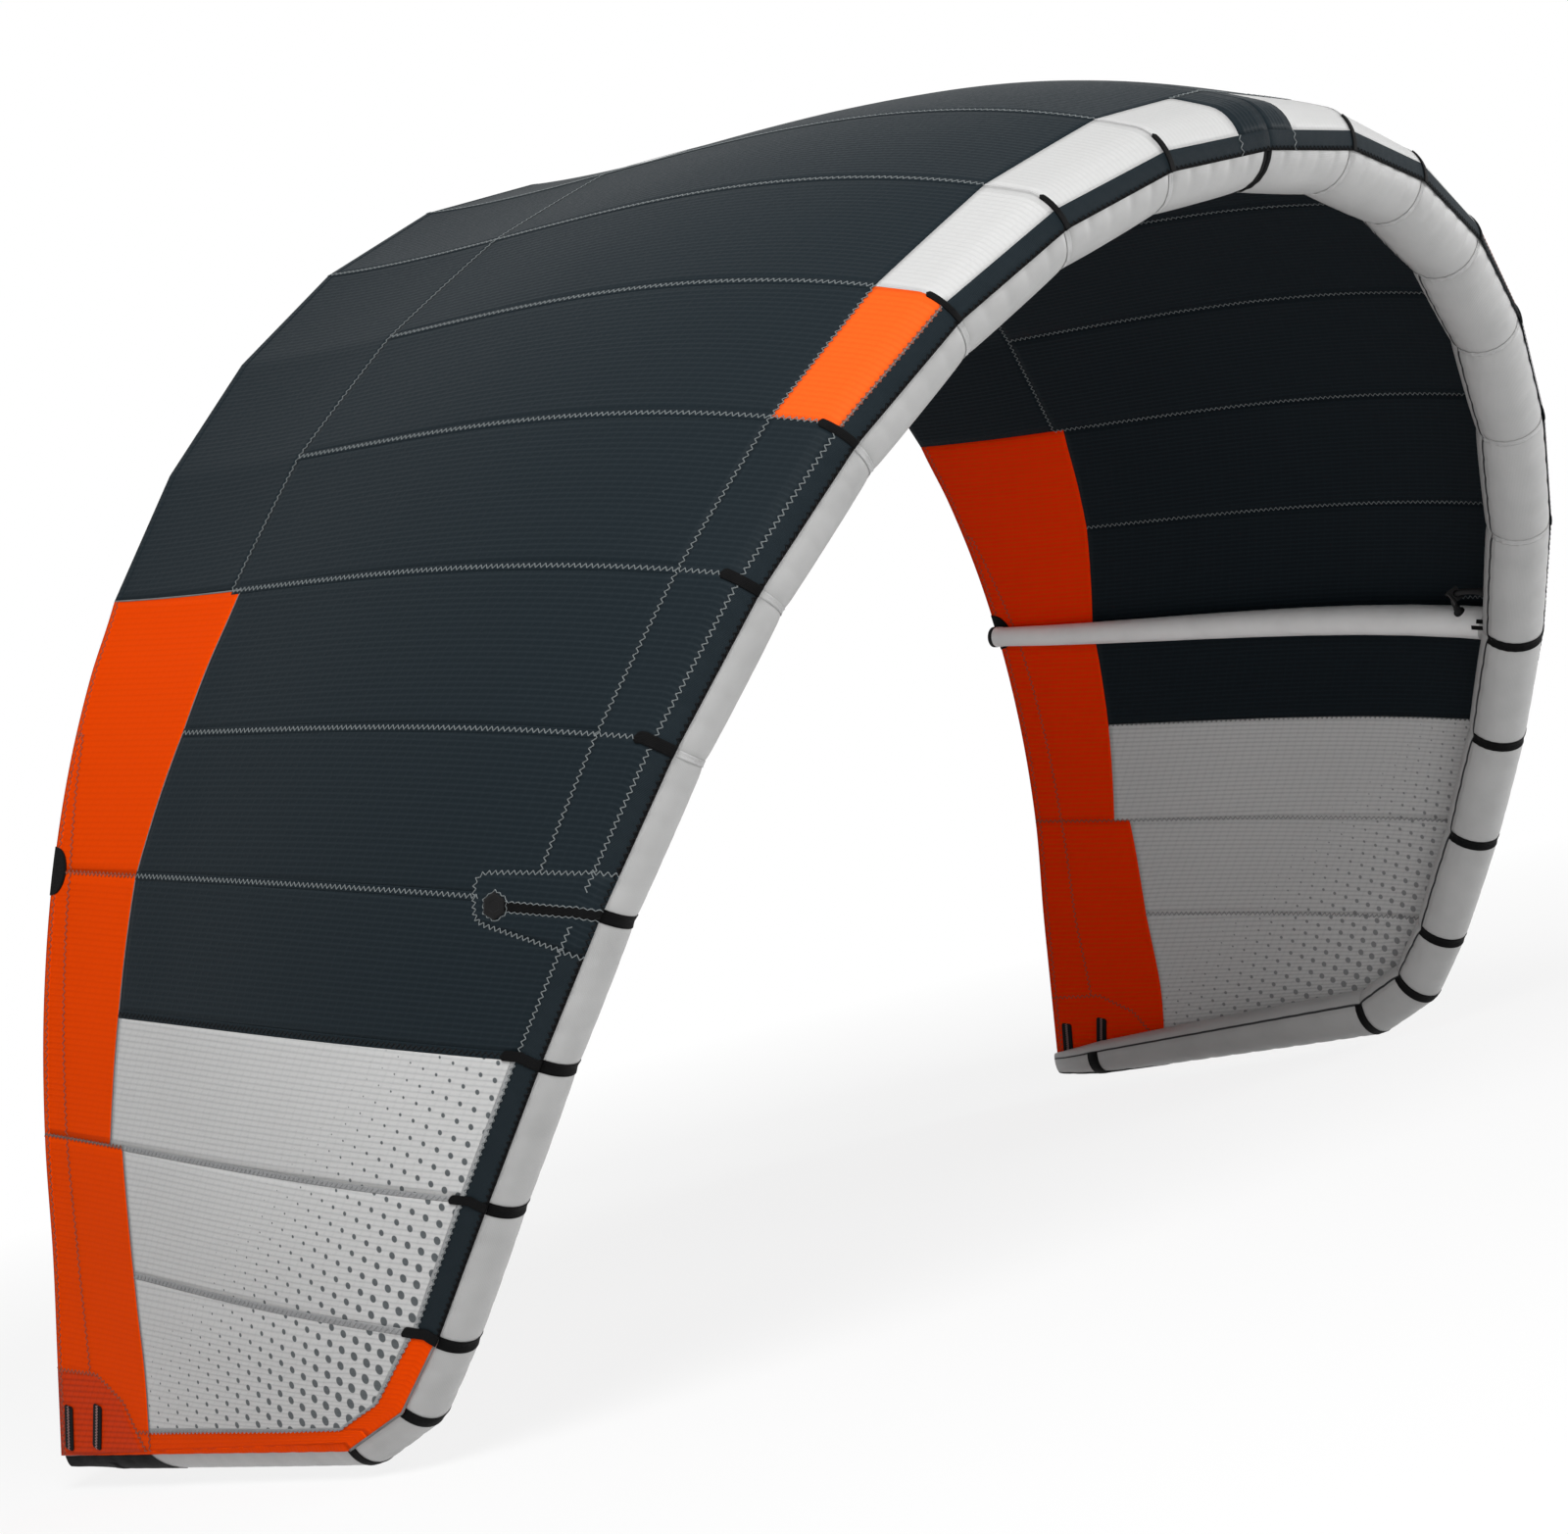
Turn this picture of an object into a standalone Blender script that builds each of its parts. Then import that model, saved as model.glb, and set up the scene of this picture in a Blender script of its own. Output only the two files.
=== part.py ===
"""Inflatable kitesurf kite of 7 square metres: segmented leading-edge tube, three struts, sewn canopy.

The kite is in flying attitude. X runs along the span, the leading edge faces -Y and +Z is up. The origin
lies midway between the two wing tips, at the level of the undersides of their tubes.
"""
import math

import bmesh
import bpy
from mathutils import Matrix, Vector

# Leading-edge tube, on the -X half: its axis is a chain of straight panels, bent a little at each seam
LE_CENTRE = Vector((0.0, -1.535, 1.607))
LE_INNER_PANELS = 7                     # from mid span to the side strut
LE_INNER_PANEL = 0.244
LE_OUTER_PANELS = 3                     # from the side strut to the tip's corner
LE_OUTER_PANEL = 0.229
LE_DROOP = (98.3, 30.5, -45.1)          # degrees, terms in the share, its square and its cube
LE_SWEEP = (55.1, -12.4, -3.7)
CORNER_PANEL = 0.1325
CORNER_SWEEPS = (43.7, 69.0)
TIP_TUBE = 0.82
TIP_TOE_IN = 3.8
LE_RADIUS_CENTRE = 0.0702
LE_RADIUS_CORNER = 0.0487
LE_RADIUS_TIP = 0.0473
LE_RADIUS_END = 0.030
TUBE_SIDES = 14

# Trailing edge, on the -X half
TE_CENTRE = Vector((0.0, -0.050, 1.968))
TE_PANEL = 0.234
TE_PANEL_TAPER = 0.291                  # the panels at mid span are wider than those at the tip
TE_DROOP = (134.5, -43.4, -1.5)
TE_SWEEP = (40.5, -55.7, 30.5)

# Canopy section: round the tube from the seam, then off at a tangent
CAMBER_CENTRE = 0.045
CAMBER_TIP = 0.031
CAMBER_FALL = 1.90                      # how far forward the deepest camber lies
WRAP_STEPS = 16                         # points of a section round the tube, and behind it
FREE_STEPS = 60
NOSE_STEPS = 3                          # points of a main panel round the tube, and behind it
NOSE_REACH = 0.012
MAIN_STEPS = 11
MAIN_GRADING = 1.3
STRIP_STEPS = 6
TE_STEPS = 4
SEAM_ANGLE_CENTRE = 183.0               # round the tube, from the chord line over the top
SEAM_ANGLE_TIP = 115.0
STRIP_WIDTH = 0.030                     # doubled strip along the leading edge
TE_START_CENTRE = 0.715                 # where the trailing-edge panels begin, as a share of the section
TE_START_STEP = 0.0125
TE_START_MOST = 0.82
TIP_TE_START = (0.79, 0.765, 0.735, 0.71)

# Cloth, walls and clearances
CANOPY_CLOTH = 0.0012
CASING_WALL = 0.0015
STRUT_WALL = 0.0012
BLADDER_WALL = 0.0008
CLOTH_CLEARANCE = 0.0021                # canopy cloth to the tube that it wraps
GAP = 0.0004

# Struts
STRUT_STATIONS = {"centre": 0, "left": 7, "right": 7}
STRUT_RADIUS_FRONT = 0.032
STRUT_RADIUS_REAR = 0.0195
STRUT_START = 0.020                     # behind the line where the canopy leaves the tube
STRUT_CAP = 0.014
STRUT_CAP_SPIGOT = 0.015
STRUT_CAP_TO_EDGE = 0.004
STRUT_NECK = 0.030                      # tube wall to the bladder's neck, and the length of its shoulder
STRUT_SIDES = 10
STRUT_RUNS = 10
STRUT_CLEARANCE = 0.0015                # casing to the canopy above it

# Air line of each strut, with its pinch clip
HOSE_RADIUS = 0.0055
HOSE_WALL = 0.0014
HOSE_OFFSET = 0.085                     # along the tube, from the strut to the hose
HOSE_REACH = 0.075                      # along the strut, from the tube to the hose
HOSE_FOOT_ANGLE = 22.0                  # below the chord line, and below the strut's side
HOSE_HEAD_ANGLE = 26.0
HOSE_PULL = 0.055
HOSE_STEPS = 10
HOSE_SIDES = 8
CLIP_LENGTH = 0.014
CLIP_BODY = (0.026, 0.018)
CLIP_BORE = 0.0066
LUG_RADIUS = 0.0034
JAW_WIDTH = 0.008
JAW_SHORT = 0.004
JAW_LIFT = 0.003
KNUCKLE_RADIUS = 0.0024

# Inflation valve, which stands on the tube like a spool
VALVE_ANGLE = -30.0
VALVE_FLANGE = 0.024
VALVE_NECK = 0.0165
VALVE_LIP = 0.0215
VALVE_BORE = 0.012
VALVE_SEAT = 0.009                      # bore below the ledge that the one-way flap lies on
VALVE_SEAT_HEIGHT = 0.001
VALVE_HEIGHT = 0.016
VALVE_DEPTH = 0.008
VALVE_THICK = 0.003
FLAP_THICK = 0.0012
VALVE_HINGE = 0.0205                    # from the middle of the valve to the cap's hinge
CAP_RADIUS = 0.017
CAP_THICK = 0.003
CAP_PLUG = 0.002
CAP_KNOB = 0.008
CAP_KNUCKLE = 0.002
CAP_TAB = 0.010

# Line straps at each wing tip
STRAP_SIZE = (0.020, 0.066, 0.0016)
STRAP_FROM_TE = {"rear": 0.030, "front": 0.115}
STRAP_ABOVE_TUBE = 0.016
STRAP_CLEARANCE = 0.0012
STRAP_CORNER = 0.004

DARK_CLOTH = (0.018, 0.026, 0.031)
PALE_CLOTH = (0.66, 0.66, 0.65)
ORANGE_CLOTH = (0.80, 0.070, 0.004)
TUBE_CLOTH = (0.74, 0.74, 0.73)
BLACK_TRIM = (0.010, 0.010, 0.011)
BLADDER_FILM = (0.55, 0.60, 0.62)

SPAN_SEAMS = LE_INNER_PANELS + LE_OUTER_PANELS
UP = Vector((0, 0, 1))


def cubic(terms, share):
    """Angle in radians of a curve given by its linear, square and cube terms in degrees."""
    return math.radians(sum(term * share ** (power + 1) for power, term in enumerate(terms)))


def heading(droop, sweep):
    """Direction towards the -X tip, drooped from level and swept back."""
    level = math.cos(sweep)
    return Vector((-math.cos(droop) * level, math.sin(sweep), -math.sin(droop) * level))


def leading_edge():
    """Axis points, panel directions and radii of the tube from mid span to the end of the tip."""
    lengths = [LE_INNER_PANEL] * LE_INNER_PANELS + [LE_OUTER_PANEL] * LE_OUTER_PANELS
    total = sum(lengths)
    points, directions, radii = [LE_CENTRE.copy()], [], [LE_RADIUS_CENTRE]
    done = 0.0
    for length in lengths:
        middle = (done + length / 2) / total
        directions.append(heading(cubic(LE_DROOP, middle), cubic(LE_SWEEP, middle)))
        points.append(points[-1] + length * directions[-1])
        done += length
        radii.append(LE_RADIUS_CENTRE + (LE_RADIUS_CORNER - LE_RADIUS_CENTRE) * done / total)
    for sweep in CORNER_SWEEPS:
        directions.append(heading(cubic(LE_DROOP, 1.0), math.radians(sweep)))
        points.append(points[-1] + CORNER_PANEL * directions[-1])
    toe_in = math.radians(TIP_TOE_IN)
    directions.append(Vector((math.sin(toe_in), math.cos(toe_in), 0)))
    points.append(points[-1] + TIP_TUBE * directions[-1])
    radii += [(LE_RADIUS_CORNER + LE_RADIUS_TIP) / 2, LE_RADIUS_TIP, LE_RADIUS_END]
    return points, directions, radii


def trailing_edge():
    """Trailing-edge points at the spanwise seams."""
    points = [TE_CENTRE.copy()]
    for number in range(SPAN_SEAMS):
        share = (number + 0.5) / SPAN_SEAMS
        step = TE_PANEL * (1 + TE_PANEL_TAPER * (0.5 - share))
        points.append(points[-1] + step * heading(cubic(TE_DROOP, share), cubic(TE_SWEEP, share)))
    return points


LE_POINTS, LE_DIRECTIONS, LE_RADII = leading_edge()
TE_POINTS = trailing_edge()
CORNER = SPAN_SEAMS + 2                 # seam where the tube turns into the wing tip
TIP_END = SPAN_SEAMS + 3


class Station:
    """One seam across the tube, with the frame that its rings and canopy section are drawn in."""

    def __init__(self, number):
        self.axis = LE_POINTS[number]
        self.radius = LE_RADII[number]
        after = LE_DIRECTIONS[min(number, TIP_END - 1)]
        before = LE_DIRECTIONS[number - 1] if number else Vector((after.x, -after.y, -after.z))
        self.along = (before + after).normalized()
        self.mitre = 1 / self.along.dot(after)
        bend = after - self.along * after.dot(self.along)
        self.bend = bend.normalized() if bend.length > 1e-6 else bend
        rear = TE_POINTS[number] - self.axis if number <= SPAN_SEAMS else UP
        self.back = (rear - self.along * rear.dot(self.along)).normalized()
        self.out = self.back.cross(self.along)

    def round_point(self, angle, radius):
        """Point of the mitred ring at an angle from the chord line, over the outside."""
        offset = radius * (math.cos(angle) * self.back + math.sin(angle) * self.out)
        return self.axis + offset + self.bend * offset.dot(self.bend) * (self.mitre - 1)

    def ring(self, radius, sides=TUBE_SIDES):
        return [self.round_point(math.tau * side / sides, radius) for side in range(sides)]


STATIONS = [Station(number) for number in range(TIP_END + 1)]


class Section:
    """Outer line of the canopy at one station, read by the distance from its seam with the tube."""

    def __init__(self, number, rear, camber):
        station = STATIONS[number]
        self.station = station
        radius = station.radius + CLOTH_CLEARANCE + CANOPY_CLOTH
        share = min(number / SPAN_SEAMS, 1.0)
        seam = math.radians(SEAM_ANGLE_CENTRE + (SEAM_ANGLE_TIP - SEAM_ANGLE_CENTRE) * share)
        deepest = 1 / (1 + CAMBER_FALL)
        scale = camber / (deepest * (1 - deepest) ** CAMBER_FALL)
        slope = math.atan(scale)
        leaving = math.pi / 2
        for _ in range(4):
            start = station.round_point(leaving, radius)
            chord = (rear - start).normalized()
            rise = math.sin(slope) + math.cos(slope) * chord.dot(station.out)
            leaving = math.pi / 2 + math.atan2(rise, math.cos(slope) * chord.dot(station.back))
        if number > SPAN_SEAMS:
            leaving = math.pi / 2
        start = station.round_point(leaving, radius)
        chord = rear - start
        up = (station.out - chord * station.out.dot(chord) / chord.length_squared).normalized()
        self.points = []
        for step in range(WRAP_STEPS):
            angle = seam + (leaving - seam) * step / WRAP_STEPS
            self.points.append(station.round_point(angle, radius))
        for step in range(FREE_STEPS + 1):
            c = step / FREE_STEPS
            lift = scale * c * (1 - c) ** CAMBER_FALL * chord.length
            self.points.append(start + chord * c + up * lift)
        self.lengths = [0.0]
        for a, b in zip(self.points, self.points[1:]):
            self.lengths.append(self.lengths[-1] + (b - a).length)
        self.length = self.lengths[-1]
        self.wrap = self.lengths[WRAP_STEPS]

    def at(self, distance):
        """Point at a distance along the line, from the seam."""
        for number, reached in enumerate(self.lengths[1:], 1):
            if reached >= distance:
                break
        share = (distance - self.lengths[number - 1]) / (reached - self.lengths[number - 1])
        return self.points[number - 1].lerp(self.points[number], share)

    def along(self, distance, reach=0.004):
        """Direction of the line towards the trailing edge."""
        return (self.at(distance + reach) - self.at(distance - reach)).normalized()

    def stretch(self, first, last, steps, grading=1.0):
        """Points between two distances, closer together at the front where the grading is above 1."""
        return [self.at(first + (last - first) * (step / steps) ** grading) for step in range(steps + 1)]


def canopy_sections():
    """Sections at each spanwise seam, then those of the wing tip down to its tube."""
    sections = []
    for number in range(SPAN_SEAMS + 1):
        share = number / SPAN_SEAMS
        camber = CAMBER_CENTRE + (CAMBER_TIP - CAMBER_CENTRE) * share
        sections.append(Section(number, TE_POINTS[number], camber))
    radius = LE_RADIUS_END + CLOTH_CLEARANCE + CANOPY_CLOTH
    tip = STATIONS[TIP_END].round_point(math.pi / 2, radius)
    middle = TE_POINTS[SPAN_SEAMS].lerp(tip, 0.5)
    sections.append(Section(SPAN_SEAMS + 1, middle, CAMBER_TIP / 2))
    sections.append(Section(CORNER, tip, 0.0))
    return sections


SECTIONS = canopy_sections()


def te_start(number, outer=False):
    """Distance from the seam at which the trailing-edge panel of a section begins."""
    if outer:
        share = TIP_TE_START[number - (SPAN_SEAMS - 1)]
    else:
        share = min(TE_START_CENTRE + TE_START_STEP * number, TE_START_MOST)
    return share * SECTIONS[number].length


def main_row(section, front, rear):
    """Points of a main panel: short steps while it still wraps the tube, then longer ones."""
    nose = max(section.wrap, front) + NOSE_REACH
    points = section.stretch(front, nose, NOSE_STEPS)
    return points + section.stretch(nose, rear, MAIN_STEPS, MAIN_GRADING)[1:]


def new_object(name, mesh_builder, colour, roughness):
    """Object with its own mesh and its own finish."""
    mesh = bpy.data.meshes.new(name)
    mesh_builder.to_mesh(mesh)
    mesh_builder.free()
    thing = bpy.data.objects.new(name, mesh)
    bpy.context.scene.collection.objects.link(thing)
    finish = bpy.data.materials.new(name + "_finish")
    finish.use_nodes = True
    shader = finish.node_tree.nodes["Principled BSDF"]
    shader.inputs["Base Color"].default_value = (*colour, 1.0)
    shader.inputs["Roughness"].default_value = roughness
    mesh.materials.append(finish)
    return thing


def thicken(thing, thickness):
    """Give a sheet its thickness, inwards from the drawn face."""
    solidify = thing.modifiers.new("thickness", "SOLIDIFY")
    solidify.thickness = thickness
    solidify.offset = -1.0
    solidify.use_even_offset = True


def cut(thing, cutter):
    """Take a cutter's shape out of an object, and leave the cutter as a hidden guide."""
    cutter.hide_render = True
    cutter.display_type = "WIRE"
    difference = thing.modifiers.new("cut", "BOOLEAN")
    difference.operation = "DIFFERENCE"
    difference.object = cutter


def on_side(point, side):
    return Vector((-point.x, point.y, point.z)) if side == "right" else point


def sheet(name, rows, side, colour, thickness=CANOPY_CLOTH):
    """Cloth panel through rows of points, each row from the leading edge to the trailing edge."""
    builder = bmesh.new()
    grid = [[builder.verts.new(on_side(point, side)) for point in row] for row in rows]
    for row, following in zip(grid, grid[1:]):
        for number in range(len(row) - 1):
            corners = [row[number], row[number + 1], following[number + 1], following[number]]
            builder.faces.new(corners if side == "left" else corners[::-1])
    panel = new_object(name, builder, colour, 0.6)
    thicken(panel, thickness)
    return panel


def drawn_back(rows):
    """Rows of points whose first and last are moved away from the neighbouring piece by the gap."""
    first = [a + (b - a).normalized() * GAP for a, b in zip(rows[0], rows[1])]
    last = [a + (b - a).normalized() * GAP for a, b in zip(rows[-1], rows[-2])]
    return [first] + rows[1:-1] + [last]


def tube(name, rings, colour, wall=0.0, flip=False, start_cap=False, end_cap=False, roughness=0.55):
    """Tube through rings of points, with its wall inwards and either end closed where asked."""
    builder = bmesh.new()
    loops = [[builder.verts.new(point) for point in ring] for ring in rings]
    faces = []
    for loop, following in zip(loops, loops[1:]):
        for number in range(len(loop)):
            after = (number + 1) % len(loop)
            faces.append([loop[number], following[number], following[after], loop[after]])
    if start_cap:
        faces.append(loops[0])
    if end_cap:
        faces.append(loops[-1][::-1])
    for face in faces:
        builder.faces.new(face[::-1] if flip else face)
    thing = new_object(name, builder, colour, roughness)
    if wall:
        thicken(thing, wall)
    return thing


def le_rings(numbers, inset=0.0, side="left"):
    """Rings of the leading-edge tube at a run of stations, inset from its outside."""
    rings = []
    for number in numbers:
        station = STATIONS[number]
        rings.append([on_side(point, side) for point in station.ring(station.radius - inset)])
    return rings


def turned(name, profile, colour, place, steps=24):
    """Solid of revolution about local Z from a closed outline of radius and height."""
    builder = bmesh.new()
    loops = []
    for step in range(steps):
        turn = math.tau * step / steps
        loops.append([builder.verts.new((r * math.cos(turn), r * math.sin(turn), h)) for r, h in profile])
    for loop, following in zip(loops, loops[1:] + loops[:1]):
        for number in range(len(profile)):
            after = (number + 1) % len(profile)
            builder.faces.new([loop[number], following[number], following[after], loop[after]])
    bmesh.ops.remove_doubles(builder, verts=builder.verts, dist=1e-6)
    bmesh.ops.dissolve_degenerate(builder, dist=1e-6, edges=builder.edges)
    bmesh.ops.recalc_face_normals(builder, faces=builder.faces)
    thing = new_object(name, builder, colour, 0.4)
    thing.matrix_world = place
    return thing


def extruded(name, outline, width, colour, place):
    """Outline in local Y and Z, extruded along local X and centred on it."""
    builder = bmesh.new()
    face = builder.faces.new([builder.verts.new((-width / 2, y, z)) for y, z in outline])
    swept = bmesh.ops.extrude_face_region(builder, geom=[face])
    moved = [item for item in swept["geom"] if isinstance(item, bmesh.types.BMVert)]
    bmesh.ops.translate(builder, verts=moved, vec=(width, 0, 0))
    bmesh.ops.recalc_face_normals(builder, faces=builder.faces)
    thing = new_object(name, builder, colour, 0.4)
    thing.matrix_world = place
    return thing


def rod_cutter(name, radius, length, place, sides=TUBE_SIDES):
    """Hidden round cutter along local Z."""
    builder = bmesh.new()
    bmesh.ops.create_cone(builder, cap_ends=True, segments=sides,
                          radius1=radius, radius2=radius, depth=length)
    cutter = new_object(name, builder, BLACK_TRIM, 0.5)
    cutter.matrix_world = place
    return cutter


def frame_at(origin, x_axis, z_axis):
    """Placement with local X and Z along two directions at right angles."""
    x_axis, z_axis = x_axis.normalized(), z_axis.normalized()
    y_axis = z_axis.cross(x_axis)
    turn = Matrix((x_axis, y_axis, z_axis)).transposed().to_4x4()
    return Matrix.Translation(origin) @ turn


def build_leading_edge():
    """Casing panels of the tube in pairs, and the single air bladder inside them."""
    runs = [(first, first + 1, first + 2) for first in range(0, CORNER, 2)] + [(CORNER, TIP_END)]
    for side in ("left", "right"):
        for number, run in enumerate(runs, 1):
            rings = drawn_back(le_rings(run, 0.0, side))
            tube(f"le_casing_{side}_{number}", rings, TUBE_CLOTH, CASING_WALL,
                 flip=side == "right", end_cap=run[-1] == TIP_END)
    inset = CASING_WALL + 2 * GAP
    half = le_rings(range(TIP_END + 1), inset)
    end = STATIONS[TIP_END]
    half[-1] = [point - end.along * (CASING_WALL + 4 * GAP) for point in half[-1]]
    other = [[on_side(point, "right") for point in ring] for ring in half[:0:-1]]
    return tube("le_bladder", other + half, BLADDER_FILM, BLADDER_WALL, start_cap=True, end_cap=True)


def build_canopy():
    """Leading-edge strips, main panels and trailing-edge panels of both halves."""
    last_row = len(SECTIONS) - 1
    outer_row = SPAN_SEAMS - 1
    main_runs = [(0, 1, 2), (2, 3, 4), (4, 5, 6), (6, 7, 8), (8, 9), (9, 10, 11, 12)]
    te_runs = {"centre": range(0, 6), "middle": range(5, 10), "tip": range(9, last_row + 1)}
    for side in ("left", "right"):
        hem = STATIONS[TIP_END]
        rows = [section.stretch(0.0, STRIP_WIDTH - GAP, STRIP_STEPS) for section in SECTIONS[:-1]]
        for station in (STATIONS[CORNER], hem):
            radius = station.radius + CLOTH_CLEARANCE + CANOPY_CLOTH
            seam = math.radians(SEAM_ANGLE_TIP)
            sweep = seam - math.pi / 2 - GAP / radius
            rows.append([station.round_point(seam - sweep * step / STRIP_STEPS, radius)
                         for step in range(STRIP_STEPS + 1)])
        sheet(f"le_strip_{side}", drawn_back(rows), side, DARK_CLOTH)
        for number, run in enumerate(main_runs, 1):
            outer = run[0] >= outer_row
            rows = []
            for row in run:
                front = SECTIONS[row].wrap if row == last_row else STRIP_WIDTH
                rows.append(main_row(SECTIONS[row], front + GAP, te_start(row, outer) - GAP))
            colour = PALE_CLOTH if run[0] >= SPAN_SEAMS - 2 else DARK_CLOTH
            sheet(f"canopy_panel_{side}_{number}", drawn_back(rows), side, colour)
        for name, run in te_runs.items():
            outer = run[0] >= outer_row
            rows = [SECTIONS[row].stretch(te_start(row, outer) + GAP, SECTIONS[row].length, TE_STEPS)
                    for row in run]
            colour = DARK_CLOTH if name == "centre" else ORANGE_CLOTH
            sheet(f"te_panel_{side}_{name}", drawn_back(rows), side, colour)


class StrutLine:
    """Axis of a strut under the canopy seam of its station, as a chain of short straight runs."""

    def __init__(self, number):
        self.section = SECTIONS[number]
        self.station = STATIONS[number]
        self.first = self.section.wrap + STRUT_START
        self.last = self.section.length - STRUT_CAP - STRUT_CAP_TO_EDGE
        bend = math.acos(min(1.0, 1 / self.station.mitre))
        self.seat = 1 / math.cos(bend)
        run = (self.last - self.first) / STRUT_RUNS
        self.stops = [self.first + run * step for step in range(STRUT_RUNS + 1)]
        self.frames = [self.frame_under_seam(stop) for stop in self.stops]

    def radius(self, distance):
        share = (distance - self.first) / (self.last - self.first)
        return STRUT_RADIUS_FRONT + (STRUT_RADIUS_REAR - STRUT_RADIUS_FRONT) * min(share, 1.0)

    def frame_under_seam(self, distance):
        """Axis point, direction, sideways direction towards the tip and outward direction."""
        forward = self.section.along(distance)
        side = (self.station.along - forward * self.station.along.dot(forward)).normalized()
        out = forward.cross(side)
        depth = self.radius(distance) * self.seat + CANOPY_CLOTH + STRUT_CLEARANCE
        return self.section.at(distance) - out * depth, forward, side, out

    def frame(self, distance):
        """Frame at any distance, read from the straight runs and carried on past the last of them."""
        run = (self.last - self.first) / STRUT_RUNS
        number = min(int((distance - self.first) / run), STRUT_RUNS - 1)
        share = min((distance - self.stops[number]) / run, 1.0)
        pairs = zip(self.frames[number], self.frames[number + 1])
        point, forward, side, out = [before.lerp(after, share) for before, after in pairs]
        return point + forward * max(distance - self.last, 0.0), forward, side, out

    def ring(self, distance, inset=0.0, radius=None):
        point, _, side, out = self.frame(distance)
        size = self.radius(distance) - inset if radius is None else radius
        turns = [math.tau * number / STRUT_SIDES for number in range(STRUT_SIDES)]
        return [point + size * (math.cos(turn) * side - math.sin(turn) * out) for turn in turns]

    def leaves_tube(self, step=0.002):
        """Distance at which the axis comes out through the wall of the leading-edge tube."""
        distance = self.first
        while True:
            reach = self.frame(distance)[0] - self.station.axis
            reach -= self.station.along * reach.dot(self.station.along)
            if reach.length > self.station.radius:
                return distance
            distance += step


def build_strut(name, number):
    """Casing cut to the tube, bladder with an open neck, and the end cap at the trailing edge."""
    line = StrutLine(number)
    side = "right" if name == "right" else "left"
    leaves = line.leaves_tube()

    def rings(*places):
        return [[on_side(point, side) for point in ring] for ring in places]

    flip = side == "right"
    outside = rings(*[line.ring(stop) for stop in line.stops])
    casing = tube(f"strut_casing_{name}", outside, TUBE_CLOTH, STRUT_WALL, flip)
    if number:
        around = le_rings((number - 1, number, number + 1), -2 * GAP, side)
    else:
        around = le_rings((1,), -2 * GAP, "right") + le_rings((0, 1), -2 * GAP)
    saddle = tube(f"strut_saddle_{name}", around, BLACK_TRIM, 0.0, flip, start_cap=True, end_cap=True)
    cut(casing, saddle)

    neck = leaves + STRUT_NECK
    rear = line.last - STRUT_NECK
    inset = STRUT_WALL + 2 * GAP
    shoulder = neck + STRUT_NECK
    clear = STRUT_NECK / 3
    between = [stop for stop in line.stops if shoulder + clear < stop < rear - clear]
    swelling = [line.ring(place, inset) for place in [shoulder] + between + [rear]]
    tube(f"strut_bladder_{name}", rings(line.ring(neck, radius=HOSE_RADIUS), *swelling),
         BLADDER_FILM, BLADDER_WALL, flip, end_cap=True)

    end = line.last
    size = line.radius(end)
    spigot = size - STRUT_WALL - 2 * GAP
    profile = [(end - STRUT_CAP_SPIGOT, spigot), (end + GAP, spigot), (end + GAP, size),
               (end + 0.6 * STRUT_CAP, size), (end + STRUT_CAP, 0.7 * size)]
    tube(f"strut_end_cap_{name}", rings(*[line.ring(place, radius=r) for place, r in profile]),
         BLACK_TRIM, 0.0, flip, start_cap=True, end_cap=True)
    return line, leaves


def smooth_path(start, start_way, end, end_way, pull, steps):
    """Points of a curve that leaves one place and reaches another, each square to what it meets."""
    handles = [start, start + start_way * pull, end + end_way * pull, end]
    path = []
    for step in range(steps + 1):
        t = step / steps
        weights = ((1 - t) ** 3, 3 * t * (1 - t) ** 2, 3 * t * t * (1 - t), t ** 3)
        path.append(sum((weight * handle for weight, handle in zip(weights, handles)), Vector((0, 0, 0))))
    return path


def path_rings(path, first_way, last_way, radius, sides):
    """Rings square to a path, its end rings square to the given ways."""
    rings = []
    across = first_way.orthogonal().normalized()
    for number, point in enumerate(path):
        if number == 0:
            way = first_way
        elif number == len(path) - 1:
            way = last_way
        else:
            way = (path[number + 1] - path[number - 1]).normalized()
        across = (across - way * across.dot(way)).normalized()
        over = way.cross(across)
        turns = [math.tau * step / sides for step in range(sides)]
        rings.append([point + radius * (math.cos(turn) * across - math.sin(turn) * over) for turn in turns])
    return rings


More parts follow.
